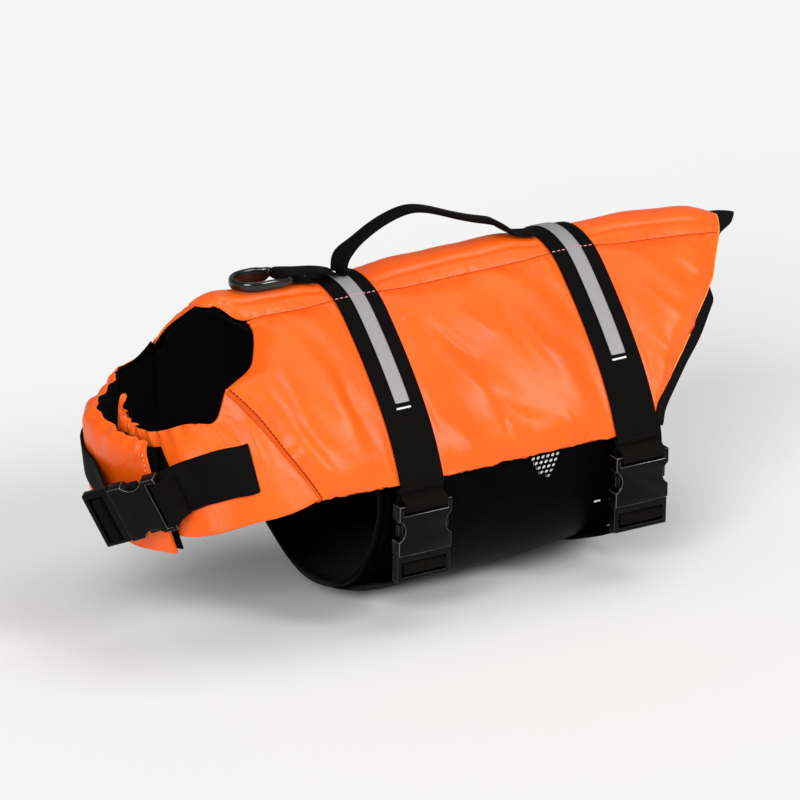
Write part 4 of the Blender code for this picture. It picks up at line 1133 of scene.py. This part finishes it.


# Seams between the padded walls: a rolled edge of the cloth fills each one, its darker orange a painted shade
# of the seam's valley, with lockstitches on it whose dark colour is also a painted shadow line;
# a black tape covers the front seams on the inside
seamLook = {
    "stitchMm": 2.8, "gapMm": 0.5, "threadWideMm": 0.42,
    "tapeDepthMm": 8.5, "tapeHalfWideMm": 7.0, "tapeHalfThickMm": 1.2,
}
seams = [
    # name, wall, its neighbours, half width, half thickness, shift up and to the front, that of its stitches
    ("spineSeams", "back_panel", ("side_panel_left", "side_panel_right"), 0.8, 0.8, (-0.45, 0), (0.05, 0)),
    ("leftFrontSeam", "chest_flap_left", ("side_panel_left",), 2.4, 0.9, (0.1, 2.1), (0.8, -0.6)),
    ("rightFrontSeam", "chest_flap_right", ("side_panel_right",), 2.4, 0.9, (0.1, 2.1), (0.8, -0.6)),
]


def makeSeams():
    look = lookOf(seamLook)
    threads = []
    tapes = []
    for name, node, neighbours, wide, thick, (lift, onward), (above, ahead) in seams:
        cords = []
        for neighbour in neighbours:
            for run in seamRuns(node, neighbour, bodyCentre):
                run = run[2:-2]  # a seam stops short of the cloth's corners
                ups = upsAt(run, bodyCentre)
                sides = [side if side.x < 0 else -side for side in pathSides(run, ups)]
                cords.append([ringAround(point + up * (lift * mm) + side * (onward * mm), side, up,
                                         wide * mm, thick * mm, 10)
                              for point, up, side in zip(run, ups, sides)])
                raised = [point + up * (above * mm) + side * (ahead * mm)
                          for point, up, side in zip(run, ups, sides)]
                threads += stitchLine(raised, ups, look.stitch, look.gap, look.threadWide)
                if node.startswith("chest"):
                    inner = [point - up * look.tapeDepth for point, up in zip(run, ups)]
                    tapes.append([ringAround(point, side, up, look.tapeHalfWide,
                                             look.tapeHalfThick, 8)
                                  for point, side, up in zip(inner, pathSides(inner, ups), ups)])
        # cords in the darker orange: painted shade
        skinsMesh(name, cords, "seam", "shell_cloth")
    # real stitches, in a dark thread that also paints a shadow line
    skinsMesh("seamStitches", threads, "darkThread", "shell_cloth")
    skinsMesh("insideSeamTape", tapes, "mesh", "lining_mesh")


makeSeams()


# Thin bright edge where the panels are turned in along the tail opening
pipingLook = {"radiusMm": 0.5, "riseMm": 0.5, "beforeMm": 1.2, "reachMm": 4.0}


def makeTailPiping():
    look = lookOf(pipingLook)
    cords = []
    for node in ("side_panel_left", "back_panel", "side_panel_right"):
        for run in seamRuns(node, "tail_binding", bodyCentre, look.reach):
            ups = upsAt(run, bodyCentre)
            path = [point + up * look.rise - Vector((look.before, 0, 0)) for point, up in zip(run, ups)]
            cords.append(cordSkin(path, ups, look.radius))
    skinsMesh("tailPiping", cords, "piping", "shell_cloth")


makeTailPiping()


def meet(tree, start, way, lift):
    # Where a line meets a surface, lifted off it, and the surface's direction there, towards the start
    hit, normal, _, _ = tree.ray_cast(Vector(start), Vector(way))
    if hit is None:
        return None
    normal = normal if normal.dot(Vector(way)) < 0 else -normal
    return hit + normal * lift, normal


def surfacePath(tree, spots, lift):
    # Points and ups where lines from above or from a side meet a surface
    found = [meet(tree, start, way, lift) for start, way in spots]
    return zip(*[item for item in found if item])


# Rose dashes where the spine seams are sewn through each belt and its strip
dashLook = {
    "y": (-27.6, 27.6), "halfWidthMm": 18.5, "lengthMm": 2.7, "gapMm": 1.5, "wideMm": 0.45, "riseMm": 0.12,
}


def makeDashes():
    look = lookOf(dashLook)
    tree = surfaceOf(belts + strips)
    skins = []
    for x in beltX:
        for y in look.y:
            spots = [((px * mm, y * mm, 0.2), (0, 0, -1))
                     for px in np.arange(x - look.halfWidthMm, x + look.halfWidthMm + 0.1, 0.5)]
            points, ups = surfacePath(tree, spots, look.rise)
            skins += stitchLine(points, ups, look.length, look.gap, look.wide)
    skinsMesh("beltSeamDashes", skins, "roseThread", "webbing")


# White bar tacks: rows of close threads, a little uneven
tackLook = {
    "halfWideMm": 0.55, "halfThickMm": 0.35, "pitchMm": 0.95, "wobbleMm": 0.12, "riseMm": 0.15,
    "beltZ": -66.3, "onBelts": (12.6, 1.3),  # width and length of each tack
    "handleAt": (-101, -4), "onHandle": (3.0, 1.2),
    "bellyAt": (73, -173), "onBelly": (5.6, 1.7),
}


def barTack(tree, middle, way, across, onward, size):
    # A tack of that width and length in mm, where a line from the middle along way meets the cloth
    look = lookOf(tackLook)
    skins = []
    wide, long = size
    count = max(2, round(wide / look.pitchMm))
    for number in range(count):
        shift = Vector(across) * (wide * ((number + 0.5) / count - 0.5) * mm)
        wobble = look.wobbleMm * math.sin(number * 2.4)
        starts = [middle + shift + Vector(onward) * ((long * part + wobble) * mm) for part in (-0.5, 0.5)]
        ends = [meet(tree, start, way, look.rise) for start in starts]
        if all(ends):
            (first, up), (last, _) = ends
            skins.append(stitchSkin(first, last, up, look.halfWide, look.halfThick))
    return skins


def makeTacks():
    look = lookOf(tackLook)
    tree = surfaceOf(belts + strips)
    skins = []
    for x in beltX:
        for side in (leftSide, rightSide):
            skins += barTack(tree, Vector((x * mm, side * 0.3, look.beltZ * mm)), (0, -side, 0),
                             (1, 0, 0), (0, 0, 1), look.onBelts)
    x, y = look.handleAt
    skins += barTack(surfaceOf([handle, ringLoop]), Vector((x * mm, y * mm, 0.2)), (0, 0, -1),
                     (0, 1, 0), (1, 0, 0), look.onHandle)
    x, z = look.bellyAt
    skins += barTack(surfaceOf([belly]), Vector((x * mm, -0.3, z * mm)), (0, 1, 0),
                     (1, 0, 0), (0, 0, 1), look.onBelly)
    skinsMesh("whiteBarTacks", skins, "whiteThread", "webbing")


# White stitches that close the end of the outer flap
endStitchLook = {
    "y": (-47.5, -52.0), "z": (-76.0, -104.0), "lengthMm": 2.0, "gapMm": 2.4, "wideMm": 0.32, "riseMm": 0.1,
}


def makeEndStitches():
    look = lookOf(endStitchLook)
    tree = surfaceOf([flapRight])
    rows = zip(np.linspace(*look.y, 50), np.linspace(*look.z, 50))
    spots = [((-0.4, y * mm, z * mm), (1, 0, 0)) for y, z in rows]
    points, ups = surfacePath(tree, spots, look.rise)
    stitches = stitchLine(points, ups, look.length, look.gap, look.wide)
    skinsMesh("flapEndStitches", stitches, "whiteThread", "webbing")


makeDashes()
makeTacks()
makeEndStitches()
print("seams and stitches ready")


# Window of knitted net under the hem, on the left of the belly: a pale sheet behind its front part is painted
# light, for the light that shows through
windowLook = {
    "pitchMm": 4.4, "rows": 9, "columns": 18, "rowStep": 0.86, "topMm": -113.0,
    "holeWideMm": 1.65, "holeHighMm": 1.15, "holeTurn": 0.35, "netRiseMm": 0.75, "backRiseMm": 0.3,
    "netThickMm": 0.35, "backThickMm": 0.2, "paleFromMm": 8.0,
    # lower edge of the net: x, z
    "edge": [(-32, -123), (6, -126.5), (23, -142), (38, -121)],
}


def windowEdge(x):
    rows = windowLook["edge"]
    return float(np.interp(x, [row[0] for row in rows], [row[1] for row in rows]))


def onBelly(tree, x, z, rise):
    return meet(tree, (x * mm, -0.3, z * mm), (0, 1, 0), rise * mm)[0]


def makeWindow():
    look = lookOf(windowLook)
    tree = surfaceOf([belly])
    hem = surfaceOf([panelLeft])
    pitch = look.pitchMm
    radius = pitch / math.sqrt(3)
    flat = radius * math.cos(math.radians(30))
    turns = [math.radians(30 * corner + 30) for corner in range(12)]
    cell = [(reach * math.cos(turn), reach * math.sin(turn))
            for reach, turn in zip([radius, flat] * 6, turns)]
    hole = [(look.holeWideMm * math.cos(turn - look.holeTurn), look.holeHighMm * math.sin(turn))
            for turn in turns]
    netCorners, netFaces, backCorners, backFaces = [], [], [], []
    for row in range(look.rows):
        for column in range(look.columns):
            x = look.edge[0][0] + (column + 0.5 * (row % 2)) * pitch
            z = look.topMm - row * pitch * look.rowStep
            if x > look.edge[-1][0] or z < windowEdge(x) or fromSide(hem, x * mm, z * mm, leftSide):
                continue
            first = len(netCorners)
            netCorners += [onBelly(tree, x + right, z + up, look.netRiseMm) for right, up in cell + hole]
            for corner in range(12):
                after = (corner + 1) % 12
                netFaces.append((first + corner, first + after, first + 12 + after, first + 12 + corner))
            # behind the front cells a pale sheet: painted light in place of the backdrop seen through
            if x > look.paleFromMm:
                backFaces.append(tuple(range(len(backCorners), len(backCorners) + 6)))
                backCorners += [onBelly(tree, x + right, z + up, look.backRiseMm)
                                for right, up in cell[::2]]
    for name, corners, faces, cloth, thick in (
            ("bellyNet", netCorners, netFaces, "belly", look.netThickMm),
            ("bellyNetBacking", backCorners, backFaces, "paintedBackdropLight", look.backThickMm)):
        piece = facesPiece(name, corners, faces, cloth, "lining_mesh", 0.1 * mm)
        thicker = piece.modifiers.new("thicker", "SOLIDIFY")
        thicker.thickness = thick * mm
        thicker.offset = 0.0
        applied(piece)
        mapBelly(piece)


makeWindow()
print("belly net ready")


def smoothPath(rows, steps):
    # Catmull-Rom curve through rows of numbers
    table = np.array(rows, dtype=float)
    ends = np.vstack([2 * table[0] - table[1], table, 2 * table[-1] - table[-2]])
    out = []
    for index in range(1, len(ends) - 2):
        before, here, after, last = ends[index - 1:index + 3]
        bend = 2 * before - 5 * here + 4 * after - last
        twist = 3 * here - before - 3 * after + last
        for step in range(steps):
            t = step / steps
            out.append(0.5 * (2 * here + (after - before) * t + bend * t * t + twist * t ** 3))
    out.append(table[-1])
    return out


# Webbing that wraps the buckles' bars, in each buckle's own frame: y down it, z out of its face, in mm
wrapLook = {
    "halfWidthMm": 18.9, "halfThickMm": 0.9, "corners": 12, "square": 0.45,
    "socket": [(-9.5, -6.5), (-6.5, -4), (-3.4, 2.5), (0.2, 6.5), (3.2, 6.6), (5.4, 4), (5.8, -1),
               (5.8, -5.6)],
    "plug": [(46.6, -5), (47.4, 0.5), (48.9, 4.4), (51.5, 5.2), (54.1, 4.4), (55.6, 0.5), (56.2, -5)],
}
buckleFrames = [
    # place on it, how far down the buckle that is, way down it, way out of its face
    *[((x, -118, -131.5), 0, (0, 0.04, -1), (0, -1, 0)) for x in beltX],
    ((-313.5, -54, -115.5), 30.5, (-0.556, 0.746, -0.365), (-0.716, -0.653, -0.242)),
]


def makeWraps():
    look = lookOf(wrapLook)
    skins = []
    for place, reach, along, out in buckleFrames:
        down = Vector(along).normalized()
        out = Vector(out)
        face = (out - down * out.dot(down)).normalized()
        across = down.cross(face)
        start = Vector(place) * mm - down * reach * mm
        for rows in (look.socket, look.plug):
            points = [start + down * (y * mm) + face * (z * mm) for y, z in smoothPath(rows, 5)]
            rings = []
            for before, point, after in zip(points[:1] + points, points, points[1:] + points[-1:]):
                up = across.cross((after - before).normalized())
                rings.append(ringAround(point, across, up, look.halfWidth,
                                        look.halfThick, look.corners, look.square))
            skins.append(rings)
    mapBody(skinsMesh("buckleWebbing", skins, "webbing", "webbing"))


makeWraps()
print("buckle webbing ready")


# The sewn cloth moves to its real edges together with its seams; webbing and hard pieces stay
edgePieces = [
    panelLeft, panelRight, panelBack, flapLeft, flapRight, lining, liningLeft, liningRight, tailEdge, belly,
    bellyFront, bellyRear,
]
edgePieces += [bpy.data.objects[name] for name in (
    "spineSeams", "leftFrontSeam", "rightFrontSeam", "seamStitches", "insideSeamTape", "tailPiping",
    "bellyStrapFront", "bellyStrapRear")]
for piece in edgePieces:
    shiftEdges(piece)

for piece in list(bpy.data.objects):
    if piece.type == "MESH" and "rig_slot" in piece:
        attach(piece, "leash_ring" if piece.name == "leashRing" else "jacket")
